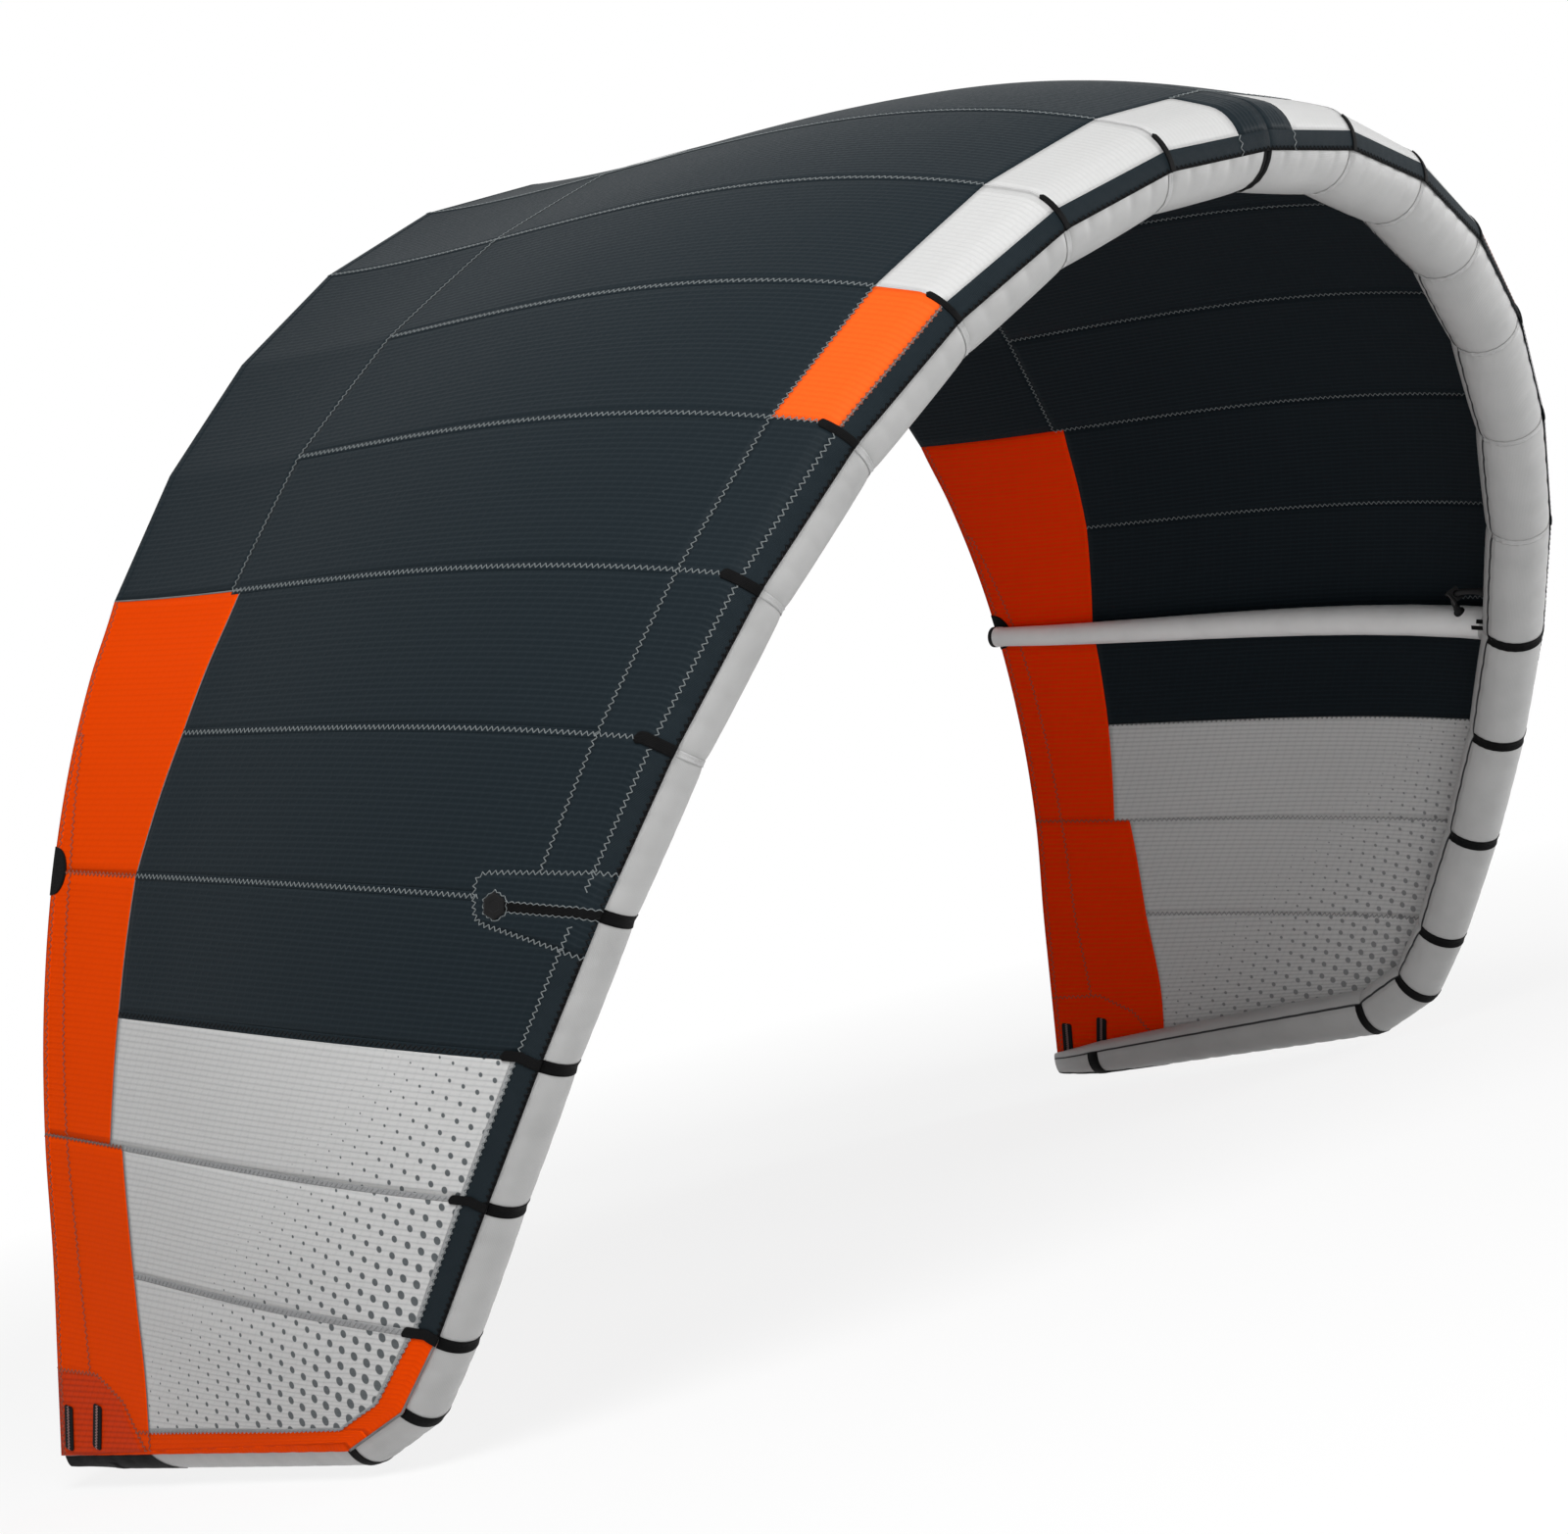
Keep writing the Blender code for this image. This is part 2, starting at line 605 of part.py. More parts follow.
def build_air_line(name, line, leaves, number):
    """Hose from the leading-edge tube into a strut, with a pinch clip on its middle."""
    side = "right" if name == "right" else "left"
    station = STATIONS[number]
    towards = LE_DIRECTIONS[number] if number == 0 else -LE_DIRECTIONS[number - 1]
    foot_turn, head_turn = math.radians(HOSE_FOOT_ANGLE), math.radians(HOSE_HEAD_ANGLE)
    foot_way = math.cos(foot_turn) * station.back - math.sin(foot_turn) * station.out
    foot_way = (foot_way - towards * foot_way.dot(towards)).normalized()
    share = HOSE_OFFSET / LE_INNER_PANEL
    radius = station.radius + (STATIONS[abs(number - 1)].radius - station.radius) * share
    foot = station.axis + towards * HOSE_OFFSET + foot_way * (radius + GAP)
    point, _, across, out = line.frame(leaves + HOSE_REACH)
    inboard = across if number == 0 else -across
    head_way = math.cos(head_turn) * inboard - math.sin(head_turn) * out
    head = point + head_way * (line.radius(leaves + HOSE_REACH) + GAP)
    path = [on_side(p, side) for p in smooth_path(foot, foot_way, head, head_way, HOSE_PULL, HOSE_STEPS)]
    rings = path_rings(path, on_side(foot_way, side), -on_side(head_way, side), HOSE_RADIUS, HOSE_SIDES)
    tube(f"air_hose_{name}", rings, BLACK_TRIM, HOSE_WALL)

    middle = HOSE_STEPS // 2
    way = (path[middle + 1] - path[middle - 1]).normalized()
    inside = -on_side(out, side)
    lift = inside - way * inside.dot(way)
    build_clip(name, frame_at(path[middle], way, lift))


def build_clip(name, place):
    """Pinch clip round a hose: a bored body with hinge lugs, and the jaw that swings between them."""
    width, height = CLIP_BODY
    top = height / 2
    hinge_y, hinge_z = -width / 2 + LUG_RADIUS, top + KNUCKLE_RADIUS + GAP
    eighths = [math.pi * step / 4 for step in range(5)]
    outline = [(-width / 2, -top), (width / 2, -top), (width / 2, top), (hinge_y + LUG_RADIUS, top)]
    outline += [(hinge_y + LUG_RADIUS * math.cos(turn), hinge_z + LUG_RADIUS * math.sin(turn))
                for turn in eighths]
    body = extruded(f"hose_clip_{name}", outline, CLIP_LENGTH, BLACK_TRIM, place)
    along_hose = place @ Matrix.Rotation(math.pi / 2, 4, "Y")
    cut(body, rod_cutter(f"hose_clip_bore_{name}", CLIP_BORE, 2 * CLIP_LENGTH, along_hose))
    slot_outline = [(-width, top), (width, top), (width, 2 * height), (-width, 2 * height)]
    cut(body, extruded(f"hose_clip_slot_{name}", slot_outline, JAW_WIDTH + 2 * GAP, BLACK_TRIM, place))

    reach = width - JAW_SHORT
    half_turn = [math.pi / 2 + math.pi * step / 6 for step in range(7)]
    jaw = [(KNUCKLE_RADIUS * math.cos(turn), KNUCKLE_RADIUS * math.sin(turn)) for turn in half_turn]
    jaw += [(reach, -KNUCKLE_RADIUS), (reach + JAW_LIFT, 0.0), (reach + JAW_LIFT, KNUCKLE_RADIUS),
            (reach - JAW_LIFT / 2, 0.3 * KNUCKLE_RADIUS), (2.5 * KNUCKLE_RADIUS, 0.3 * KNUCKLE_RADIUS)]
    hinge = place @ Matrix.Translation((0, hinge_y, hinge_z))
    extruded(f"hose_clip_jaw_{name}", jaw, JAW_WIDTH, BLACK_TRIM, hinge)


def build_valve(casing, bladder):
    """Inflation valve in the back of the tube, with its one-way flap and its hinged cap."""
    first, second = STATIONS[1], STATIONS[2]
    along = LE_DIRECTIONS[1]
    radius = (first.radius + second.radius) / 2
    angle = math.radians(VALVE_ANGLE)
    way = math.cos(angle) * (first.back + second.back) + math.sin(angle) * (first.out + second.out)
    way = (way - along * way.dot(along)).normalized()
    place = frame_at((first.axis + second.axis) / 2 + way * (radius + GAP), along, way)
    spool = [(VALVE_BORE, VALVE_HEIGHT), (VALVE_BORE, VALVE_SEAT_HEIGHT), (VALVE_SEAT, VALVE_SEAT_HEIGHT),
             (VALVE_SEAT, -VALVE_DEPTH), (VALVE_NECK, -VALVE_DEPTH), (VALVE_NECK, 0.0), (VALVE_FLANGE, 0.0),
             (VALVE_FLANGE, VALVE_THICK / 2), (VALVE_FLANGE - VALVE_THICK / 2, VALVE_THICK),
             (VALVE_NECK, VALVE_THICK), (VALVE_NECK, VALVE_HEIGHT - VALVE_THICK),
             (VALVE_LIP, VALVE_HEIGHT - VALVE_THICK), (VALVE_LIP, VALVE_HEIGHT)]
    turned("valve_base", spool, BLACK_TRIM, place)
    for thing in (casing, bladder):
        cut(thing, rod_cutter(f"valve_hole_{thing.name}", VALVE_NECK + 2 * GAP, 4 * VALVE_DEPTH, place))
    under = VALVE_SEAT_HEIGHT + GAP
    flap = [(0.0, under), (VALVE_BORE - GAP, under), (VALVE_BORE - GAP, under + FLAP_THICK),
            (0.0, under + FLAP_THICK)]
    turned("valve_flap", flap, BLACK_TRIM, place)

    hinge_height = VALVE_HEIGHT + GAP + CAP_KNUCKLE
    hinge = place @ Matrix.Translation((0, -VALVE_HINGE, hinge_height))
    low, plug = -CAP_KNUCKLE, VALVE_BORE - GAP
    cap = [(0.0, low - CAP_PLUG), (0.88 * plug, low - CAP_PLUG), (plug, low), (CAP_RADIUS, low),
           (CAP_RADIUS, low + CAP_THICK), (CAP_RADIUS - CAP_THICK / 2, low + 1.3 * CAP_THICK),
           (CAP_KNOB, low + 1.3 * CAP_THICK), (0.9 * CAP_KNOB, low + 2.3 * CAP_THICK),
           (0.0, low + 2.3 * CAP_THICK)]
    lid = turned("valve_cap", cap, BLACK_TRIM, hinge)
    lid.data.transform(Matrix.Translation((0, VALVE_HINGE, 0)))
    inner = VALVE_HINGE - CAP_RADIUS + CAP_KNUCKLE
    tab_outline = [(inner, -CAP_KNUCKLE), (inner, CAP_KNUCKLE / 2), (0.0, CAP_KNUCKLE),
                   (-CAP_KNUCKLE, 0.0), (0.0, -CAP_KNUCKLE)]
    tab = extruded("valve_cap_tab", tab_outline, CAP_TAB, BLACK_TRIM, hinge)
    tab.hide_render = True
    tab.display_type = "WIRE"
    union = lid.modifiers.new("tab", "BOOLEAN")
    union.operation = "UNION"
    union.object = tab


def build_straps():
    """Flat webbing straps on the outside of each wing tip, for the steering lines."""
    low, high = SECTIONS[-1], SECTIONS[-2]
    width, length, thick = STRAP_SIZE
    for side in ("left", "right"):
        for name, from_te in STRAP_FROM_TE.items():
            share = 1 - from_te / low.length
            foot, upper = low.at(share * low.length), high.at(share * high.length)
            rise = (upper - foot).normalized()
            chord = low.along(share * low.length)
            out = chord.cross(rise)
            if out.x > 0:
                out = -out
            out = (out - rise * out.dot(rise)).normalized()
            centre = foot + rise * (STRAP_ABOVE_TUBE + length / 2) + out * (STRAP_CLEARANCE + thick / 2)
            builder = bmesh.new()
            bmesh.ops.create_cube(builder, size=1.0)
            bmesh.ops.scale(builder, vec=(width, length, thick), verts=builder.verts)
            ends = [edge for edge in builder.edges
                    if abs(edge.verts[0].co.z - edge.verts[1].co.z) > thick / 2]
            bmesh.ops.bevel(builder, geom=ends, offset=STRAP_CORNER, segments=2, affect="EDGES")
            strap = new_object(f"line_strap_{side}_{name}", builder, BLACK_TRIM, 0.8)
            out, rise, centre = on_side(out, side), on_side(rise, side), on_side(centre, side)
            strap.matrix_world = frame_at(centre, rise.cross(out), out)


for old in list(bpy.data.objects):
    bpy.data.objects.remove(old, do_unlink=True)
le_bladder = build_leading_edge()
build_canopy()
for strut_name, strut_station in STRUT_STATIONS.items():
    strut_line, strut_leaves = build_strut(strut_name, strut_station)
    build_air_line(strut_name, strut_line, strut_leaves, strut_station)
build_valve(bpy.data.objects["le_casing_left_1"], le_bladder)
build_straps()
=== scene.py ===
"""Looks of an inflatable kitesurf kite of seven square metres, in flying attitude.

The script follows the kite as a sail loft puts it together: the tube of the leading edge and its bladder, the
canopy panels with their stitching and patches, the struts and their air lines, the valve, the wing tips.
X runs along the span, the leading edge faces -Y and +Z is up. Lengths are in metres.
"""
import math

import bpy
import numpy as np
from mathutils import Matrix, Vector


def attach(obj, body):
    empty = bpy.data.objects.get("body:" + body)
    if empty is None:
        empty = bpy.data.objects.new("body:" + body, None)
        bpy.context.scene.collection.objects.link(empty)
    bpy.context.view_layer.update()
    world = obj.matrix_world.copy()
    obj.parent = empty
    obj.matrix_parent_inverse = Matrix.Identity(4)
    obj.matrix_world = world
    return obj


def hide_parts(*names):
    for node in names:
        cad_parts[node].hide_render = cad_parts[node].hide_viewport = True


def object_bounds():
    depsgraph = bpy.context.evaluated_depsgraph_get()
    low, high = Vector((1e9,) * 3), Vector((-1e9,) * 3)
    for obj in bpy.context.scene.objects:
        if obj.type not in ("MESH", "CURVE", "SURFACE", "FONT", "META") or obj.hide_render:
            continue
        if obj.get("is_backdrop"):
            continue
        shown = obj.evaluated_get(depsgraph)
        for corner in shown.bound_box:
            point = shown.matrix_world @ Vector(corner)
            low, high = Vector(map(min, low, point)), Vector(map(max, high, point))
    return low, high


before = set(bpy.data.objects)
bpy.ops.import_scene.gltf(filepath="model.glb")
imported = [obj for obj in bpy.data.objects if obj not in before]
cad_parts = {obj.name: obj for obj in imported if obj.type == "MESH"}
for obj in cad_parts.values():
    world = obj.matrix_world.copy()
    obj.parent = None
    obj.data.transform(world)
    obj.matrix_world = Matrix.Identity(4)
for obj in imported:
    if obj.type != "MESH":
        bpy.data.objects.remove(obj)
cad_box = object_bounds()


# Leading-edge casing: the tube that holds the kite's arch, thirteen panels of coated sailcloth on each side.
# Each panel is rolled, closed along a lengthwise seam and sewn to the next one at a small angle. Blown hard,
# it swells between its seams and puckers inside every bend. Its end at the wing tip is sewn nearly flat.
SIDES = ("left", "right")
LE_CENTRE = Vector((0.0, -1.535, 1.607))
LE_PANELS = [0.244] * 7 + [0.229] * 3
LE_DROOP = (98.3, 30.5, -45.1)          # degrees: terms in the share of the span, its square and its cube
LE_SWEEP = (55.1, -12.4, -3.7)
CORNER_PANEL = 0.1325
CORNER_SWEEPS = (43.7, 69.0)
TIP_TUBE = 0.82
TIP_TOE_IN = 3.8
LE_RADIUS_CENTRE = 0.0702
LE_RADIUS_CORNER = 0.0487
LE_RADIUS_TIP = 0.0473
LE_RADIUS_END = 0.030
TE_CENTRE = Vector((0.0, -0.050, 1.968))
TE_PANEL = 0.234
TE_PANEL_TAPER = 0.291                  # the panels at mid span are wider than those at the tip
TE_DROOP = (134.5, -43.4, -1.5)
TE_SWEEP = (40.5, -55.7, 30.5)
PANEL_SWELL = 0.0014
SEAM_PINCH = 0.0013                     # how far a seam draws the cloth in, and over what length
SEAM_REACH = 0.010
PUCKER = 0.0016
PUCKER_REACH = 0.028
PUCKERS_ROUND = 23
PUCKER_SHIFT = 2.4                      # turns the puckers of each panel against those of the next
TICK = 0.0013                           # short creases that its lengthwise seams draw across the tube
TICK_PITCH = 0.052
TICK_REACH = 0.022
TICK_SHARPNESS = 8
LENGTHWISE_ANGLE = math.radians(-60)
FRONT_ANGLE = math.radians(196)         # where the front edges of the panels are drawn in too
SEAM_ANGLES = ((0, 188), (10, 122), (11, 107), (12, 106))   # of the canopy's stitching: seam, degrees
TUBE_SIDES = 64
TUBE_STOPS = 61                         # rings of a panel, closer together beside its seams
TIP_STOPS = 151
END_ROUND = 0.006                       # length over which the tip's end is rounded off
PINCH_REACH = 0.14                      # the tip's end is drawn flat against the canopy, and a little lower
PINCH_FLAT = 0.80
PINCH_LOW = 0.27
# The tube's white is set much darker than the struts' white of the same sailcloth, as painted shade on the
# tube.
TUBE_WHITE_PAINTED_SHADE = (0.42, 0.42, 0.417)
TUBE_SMUDGE = (0.27, 0.27, 0.27)

SEAMS = len(LE_PANELS)
CORNER = SEAMS + 2                      # seam where the tube turns into the wing tip
TIP_END = SEAMS + 3
TIP_SHARE = 1 - END_ROUND / TIP_TUBE    # of the tip's tube, up to its rounded end


def bent(terms, share):
    """Angle in radians of a curve given by its linear, square and cube terms in degrees."""
    return math.radians(sum(term * share ** (power + 1) for power, term in enumerate(terms)))


def heading(droop, sweep):
    """Direction towards the -X tip, drooped from level and swept back."""
    level = math.cos(sweep)
    return Vector((-math.cos(droop) * level, math.sin(sweep), -math.sin(droop) * level))


def leading_edge():
    """Axis points, panel directions and radii of the tube from mid span to the end of the tip."""
    span = sum(LE_PANELS)
    points, ways, radii = [LE_CENTRE.copy()], [], [LE_RADIUS_CENTRE]
    done = 0.0
    for length in LE_PANELS:
        middle = (done + length / 2) / span
        ways.append(heading(bent(LE_DROOP, middle), bent(LE_SWEEP, middle)))
        points.append(points[-1] + length * ways[-1])
        done += length
        radii.append(LE_RADIUS_CENTRE + (LE_RADIUS_CORNER - LE_RADIUS_CENTRE) * done / span)
    for sweep in CORNER_SWEEPS:
        ways.append(heading(bent(LE_DROOP, 1.0), math.radians(sweep)))
        points.append(points[-1] + CORNER_PANEL * ways[-1])
    toe_in = math.radians(TIP_TOE_IN)
    ways.append(Vector((math.sin(toe_in), math.cos(toe_in), 0)))
    points.append(points[-1] + TIP_TUBE * ways[-1])
    radii += [(LE_RADIUS_CORNER + LE_RADIUS_TIP) / 2, LE_RADIUS_TIP, LE_RADIUS_END]
    return points, ways, radii


def trailing_edge():
    """Trailing-edge points at the seams across the span."""
    points = [TE_CENTRE.copy()]
    for number in range(SEAMS):
        share = (number + 0.5) / SEAMS
        step = TE_PANEL * (1 + TE_PANEL_TAPER * (0.5 - share))
        points.append(points[-1] + step * heading(bent(TE_DROOP, share), bent(TE_SWEEP, share)))
    return points


LE_POINTS, LE_WAYS, LE_RADII = leading_edge()
TE_POINTS = trailing_edge()


class Station:
    """A seam across the tube, with the directions that its rings and its canopy line are drawn in."""

    def __init__(self, number):
        self.axis = LE_POINTS[number]
        self.radius = LE_RADII[number]
        after = LE_WAYS[min(number, TIP_END - 1)]
        before = LE_WAYS[number - 1] if number else Vector((after.x, -after.y, -after.z))
        self.along = (before + after).normalized()
        self.mitre = 1 / self.along.dot(after)
        bend = after - self.along * after.dot(self.along)
        self.bend = bend.normalized() if bend.length > 1e-6 else bend
        rear = TE_POINTS[number] - self.axis if number <= SEAMS else Vector((0, 0, 1))
        self.back = (rear - self.along * rear.dot(self.along)).normalized()
        self.out = self.back.cross(self.along)

    def spoke(self, angle):
        return math.cos(angle) * self.back + math.sin(angle) * self.out

    def round_point(self, angle, radius):
        """Point of the mitred ring at an angle from the chord line, over the outside."""
        offset = radius * self.spoke(angle)
        return self.axis + offset + self.bend * offset.dot(self.bend) * (self.mitre - 1)


STATIONS = [Station(number) for number in range(TIP_END + 1)]


def seam_angle(number):
    """Angle round the tube at which the canopy's edge is sewn to it."""
    return math.radians(np.interp(number, *zip(*SEAM_ANGLES)))


def pinched(point, share):
    """Point of the wing tip's tube, moved where the end of it is closed flat."""
    part = max(1 - (1 - share) * TIP_TUBE / PINCH_REACH, 0.0)
    end = STATIONS[TIP_END]
    offset = point - STATIONS[CORNER].axis.lerp(end.axis, share)
    outwards = (LE_RADIUS_END - offset.dot(end.out)) * PINCH_FLAT * part ** 2
    return point + end.out * outwards - end.back * offset.dot(end.back) * PINCH_LOW * part


def tube_point(panel, share, angle, lift=0.0):
    """Point on the blown tube's -X half, at a share of a panel and an angle, lifted off the cloth."""
    first, second = STATIONS[panel], STATIONS[panel + 1]
    length = (second.axis - first.axis).length
    rise = lift + PANEL_SWELL * (1 - abs(2 * share - 1) ** 3)
    for station, distance in ((first, share * length), (second, (1 - share) * length)):
        rise -= SEAM_PINCH * math.exp(-(distance / SEAM_REACH) ** 2)
        squeezed = max(station.spoke(angle).dot(station.bend), 0.0)
        folds = 0.5 + 0.5 * math.sin(PUCKERS_ROUND * angle + PUCKER_SHIFT * panel)
        rise -= PUCKER * squeezed * folds * math.exp(-distance / PUCKER_REACH)
    ticks = math.cos(math.pi * share * round(length / TICK_PITCH)) ** TICK_SHARPNESS
    for seam in (LENGTHWISE_ANGLE, FRONT_ANGLE, seam_angle(panel + share)):
        off_seam = math.remainder(angle - seam, math.tau) * first.radius
        rise -= TICK * ticks * math.exp(-(off_seam / TICK_REACH) ** 2)
    near = first.round_point(angle, first.radius + rise)
    point = near.lerp(second.round_point(angle, second.radius + rise), share)
    return pinched(point, share) if panel == CORNER else point


def added(name, points, faces, finish, side):
    """Object of one finish that rides on the kite, mirrored where it belongs to the right half."""
    mesh = bpy.data.meshes.new(name)
    mesh.from_pydata(points * ((-1, 1, 1) if side == "right" else (1, 1, 1)), [], faces)
    mesh.materials.append(finish)
    thing = bpy.data.objects.new(name, mesh)
    bpy.context.scene.collection.objects.link(thing)
    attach(thing, "kite")
    return thing


def piece(name, grid, uv, finish, side="left", closed=False, nodes=()):
    """Mesh through rows of points that run out along the span, each from front to back over the outside.

    The uv are in metres: one for each point, or even steps from column to column and from row to row.
    """
    grid, uv = np.asarray(grid, dtype=float), np.asarray(uv, dtype=float)
    rows, columns = grid.shape[:2]
    if uv.ndim == 1:
        uv = uv * np.stack(np.meshgrid(np.arange(columns), np.arange(rows)), axis=-1)
    kept = columns - 1 if closed else columns
    faces, corners = [], []
    for row in range(rows - 1):
        for column in range(columns - 1):
            around = [(row, column), (row, column + 1), (row + 1, column + 1), (row + 1, column)]
            if side == "right":
                around.reverse()
            faces.append([r * kept + c % kept for r, c in around])
            corners += around
    thing = added(name, grid[:, :kept].reshape(-1, 3), faces, finish, side)
    layer = thing.data.uv_layers.new(name="metres")
    layer.data.foreach_set("uv", np.array([uv[r, c] for r, c in corners], dtype=np.float32).ravel())
    thing.data.shade_smooth()
    if nodes:
        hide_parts(*nodes)
    return thing


def maths(operation, *values):
    """Arithmetic node on sockets and plain numbers, in the tree of the sockets."""
    tree = next(value.id_data for value in values if isinstance(value, bpy.types.NodeSocket))
    node = tree.nodes.new("ShaderNodeMath")
    node.operation = operation
    for socket, value in zip(node.inputs, values):
        if isinstance(value, bpy.types.NodeSocket):
            tree.links.new(value, socket)
        else:
            socket.default_value = value
    return node.outputs[0]


def times(value, factor):
    return maths("MULTIPLY", value, factor)


def times_plus(value, factor, rest):
    return maths("MULTIPLY_ADD", value, factor, rest)


def clamped(value):
    return maths("MINIMUM", maths("MAXIMUM", value, 0.0), 1.0)


def new_group(name, inputs, outputs):
    """Empty shader group with named number sockets."""
    tree = bpy.data.node_groups.new(name, "ShaderNodeTree")
    for label in inputs:
        tree.interface.new_socket(label, in_out="INPUT", socket_type="NodeSocketFloat")
    for label in outputs:
        tree.interface.new_socket(label, in_out="OUTPUT", socket_type="NodeSocketFloat")
    return tree, tree.nodes.new("NodeGroupInput").outputs, tree.nodes.new("NodeGroupOutput").inputs


def lines_of(distance, pitch, sharpness):
    """Soft lines at a pitch: 1 on each line, 0 between."""
    wave = maths("COSINE", times(maths("DIVIDE", distance, pitch), math.tau))
    return maths("POWER", times_plus(wave, 0.5, 0.5), sharpness)


def weave_group():
    """Woven cloth in metres: ribs along the cut, weaker crossing ribs, and the threads between them."""
    tree, given, made = new_group("weave", ["Rib Pitch", "Cross Pitch", "Thread Pitch"],
                                  ["Ribs", "Crossing", "Height"])
    place = tree.nodes.new("ShaderNodeUVMap")
    split = tree.nodes.new("ShaderNodeSeparateXYZ")
    tree.links.new(place.outputs[0], split.inputs[0])
    across, along = split.outputs[0], split.outputs[1]
    ribs = lines_of(across, given["Rib Pitch"], 2.0)
    crossing = lines_of(along, given["Cross Pitch"], 6.0)
    threads = times(*(lines_of(way, given["Thread Pitch"], 1.0) for way in (across, along)))
    raised = maths("MAXIMUM", ribs, times(crossing, 0.6))
    tree.links.new(ribs, made["Ribs"])
    tree.links.new(crossing, made["Crossing"])
    tree.links.new(times_plus(threads, 0.25, raised), made["Height"])
    return tree


def mottle_group():
    """Uneven tone and soft creases of handled cloth or moulded rubber, from 0 to 1."""
    tree, given, made = new_group("mottle", ["Size", "Fine Size"], ["Tone", "Grain", "Creases"])
    place = tree.nodes.new("ShaderNodeTexCoord")
    for label, size, detail in (("Tone", "Size", 3.0), ("Grain", "Fine Size", 2.0)):
        noise = tree.nodes.new("ShaderNodeTexNoise")
        noise.inputs["Detail"].default_value = detail
        tree.links.new(place.outputs["Object"], noise.inputs["Vector"])
        tree.links.new(maths("DIVIDE", 1.0, given[size]), noise.inputs["Scale"])
        tree.links.new(noise.outputs[0], made[label])
    crease = tree.nodes.new("ShaderNodeTexNoise")
    crease.noise_type = "RIDGED_MULTIFRACTAL"
    crease.inputs["Detail"].default_value = 2.0
    tree.links.new(place.outputs["Object"], crease.inputs["Vector"])
    tree.links.new(maths("DIVIDE", 0.4, given["Size"]), crease.inputs["Scale"])
    tree.links.new(crease.outputs[0], made["Creases"])
    return tree


WEAVE = weave_group()
MOTTLE = mottle_group()


def new_finish(name, roughness):
    """Material with its Principled shader, ready for its own nodes."""
    finish = bpy.data.materials.new(name)
    finish.use_nodes = True
    shader = finish.node_tree.nodes["Principled BSDF"]
    shader.inputs["Roughness"].default_value = roughness
    return finish, finish.node_tree, shader


def placed(tree, group, **values):
    """Group node in a material, with its inputs set."""
    node = tree.nodes.new("ShaderNodeGroup")
    node.node_tree = group
    for label, value in values.items():
        node.inputs[label.replace("_", " ")].default_value = value
    return node.outputs


def blended(mask, plain, other):
    """Colour that runs from one to another with a mask."""
    tree = mask.id_data
    node = tree.nodes.new("ShaderNodeMix")
    node.data_type = "RGBA"
    tree.links.new(mask, node.inputs["Factor"])
    for socket, colour in ((node.inputs["A"], plain), (node.inputs["B"], other)):
        if isinstance(colour, bpy.types.NodeSocket):
            tree.links.new(colour, socket)
        else:
            socket.default_value = (*colour, 1.0)
    return node.outputs["Result"]


def bumped(shader, height, distance):
    """Relief of a height from 0 to 1 on a surface."""
    tree = height.id_data
    bump = tree.nodes.new("ShaderNodeBump")
    bump.inputs["Distance"].default_value = distance
    tree.links.new(height, bump.inputs["Height"])
    tree.links.new(bump.outputs[0], shader.inputs["Normal"])


def sailcloth(name, colour, smudge):
    """Coated polyester sailcloth: a tight plain weave under a satin resin, faintly smudged."""
    finish, tree, shader = new_finish(name, 0.42)
    weave = placed(tree, WEAVE, Rib_Pitch=0.0026, Cross_Pitch=0.0026, Thread_Pitch=0.0013)
    mottle = placed(tree, MOTTLE, Size=0.07, Fine_Size=0.004)
    smudges = times(maths("POWER", mottle["Tone"], 2.0), 0.75)
    tone = blended(smudges, colour, smudge)
    threads = times(weave["Ribs"], 0.10)
    tree.links.new(blended(threads, tone, smudge), shader.inputs["Base Color"])
    tree.links.new(times_plus(mottle["Grain"], 0.18, 0.33), shader.inputs["Roughness"])
    relief = times_plus(mottle["Creases"], 0.5, times(weave["Height"], 0.12))
    bumped(shader, relief, 0.0012)
    shader.inputs["Sheen Weight"].default_value = 0.05
    return finish


# The tube's sailcloth, darkened as painted shade.
tube_finish = sailcloth("tube_sailcloth_painted_shade", TUBE_WHITE_PAINTED_SHADE, TUBE_SMUDGE)
ROUND = [-math.tau * number / TUBE_SIDES for number in range(TUBE_SIDES + 1)]


def panel_stops(count):
    """Shares along a panel, crowded towards both of its seams."""
    return [0.5 - 0.5 * math.cos(math.pi * number / (count - 1)) for number in range(count)]


for side in SIDES:
    for panel in range(TIP_END):
        length = (LE_POINTS[panel + 1] - LE_POINTS[panel]).length
        stops = panel_stops(TIP_STOPS if panel == CORNER else TUBE_STOPS)
        grid = [[tube_point(panel, stop, angle) for angle in ROUND] for stop in stops]
        uv = [[(angle * LE_RADII[panel], stop * length) for angle in ROUND] for stop in stops]
        if panel == CORNER:
            for row, stop in zip(grid, stops):
                left_over = max(1 - (1 - stop) * length / END_ROUND, 0.0)
                middle = sum(row[:-1], Vector()) / TUBE_SIDES
                size = math.sqrt(max(1 - left_over ** 2, 0.0))
                row[:] = [middle + (point - middle) * size for point in row]
        piece(f"tube_panel_{side}_{panel + 1:02d}", grid, uv, tube_finish, side, closed=True,
              nodes=[f"le_casing_{side}_{panel // 2 + 1}"])


# Bladder of the leading edge: one long tube of clear welded film inside the casing, from tip to tip.
# It holds the air, and the casing holds its shape. Nothing of it shows while the kite is closed.
BLADDER_INSET = 0.0045
BLADDER_END = 1 - PINCH_REACH / TIP_TUBE    # share of the tip's tube where its end starts to flatten
BLADDER_UV = (-2 * math.tau / TUBE_SIDES * LE_RADIUS_CENTRE, 0.2)   # steps round the film and along it
BLADDER_FILM = (0.55, 0.60, 0.62)

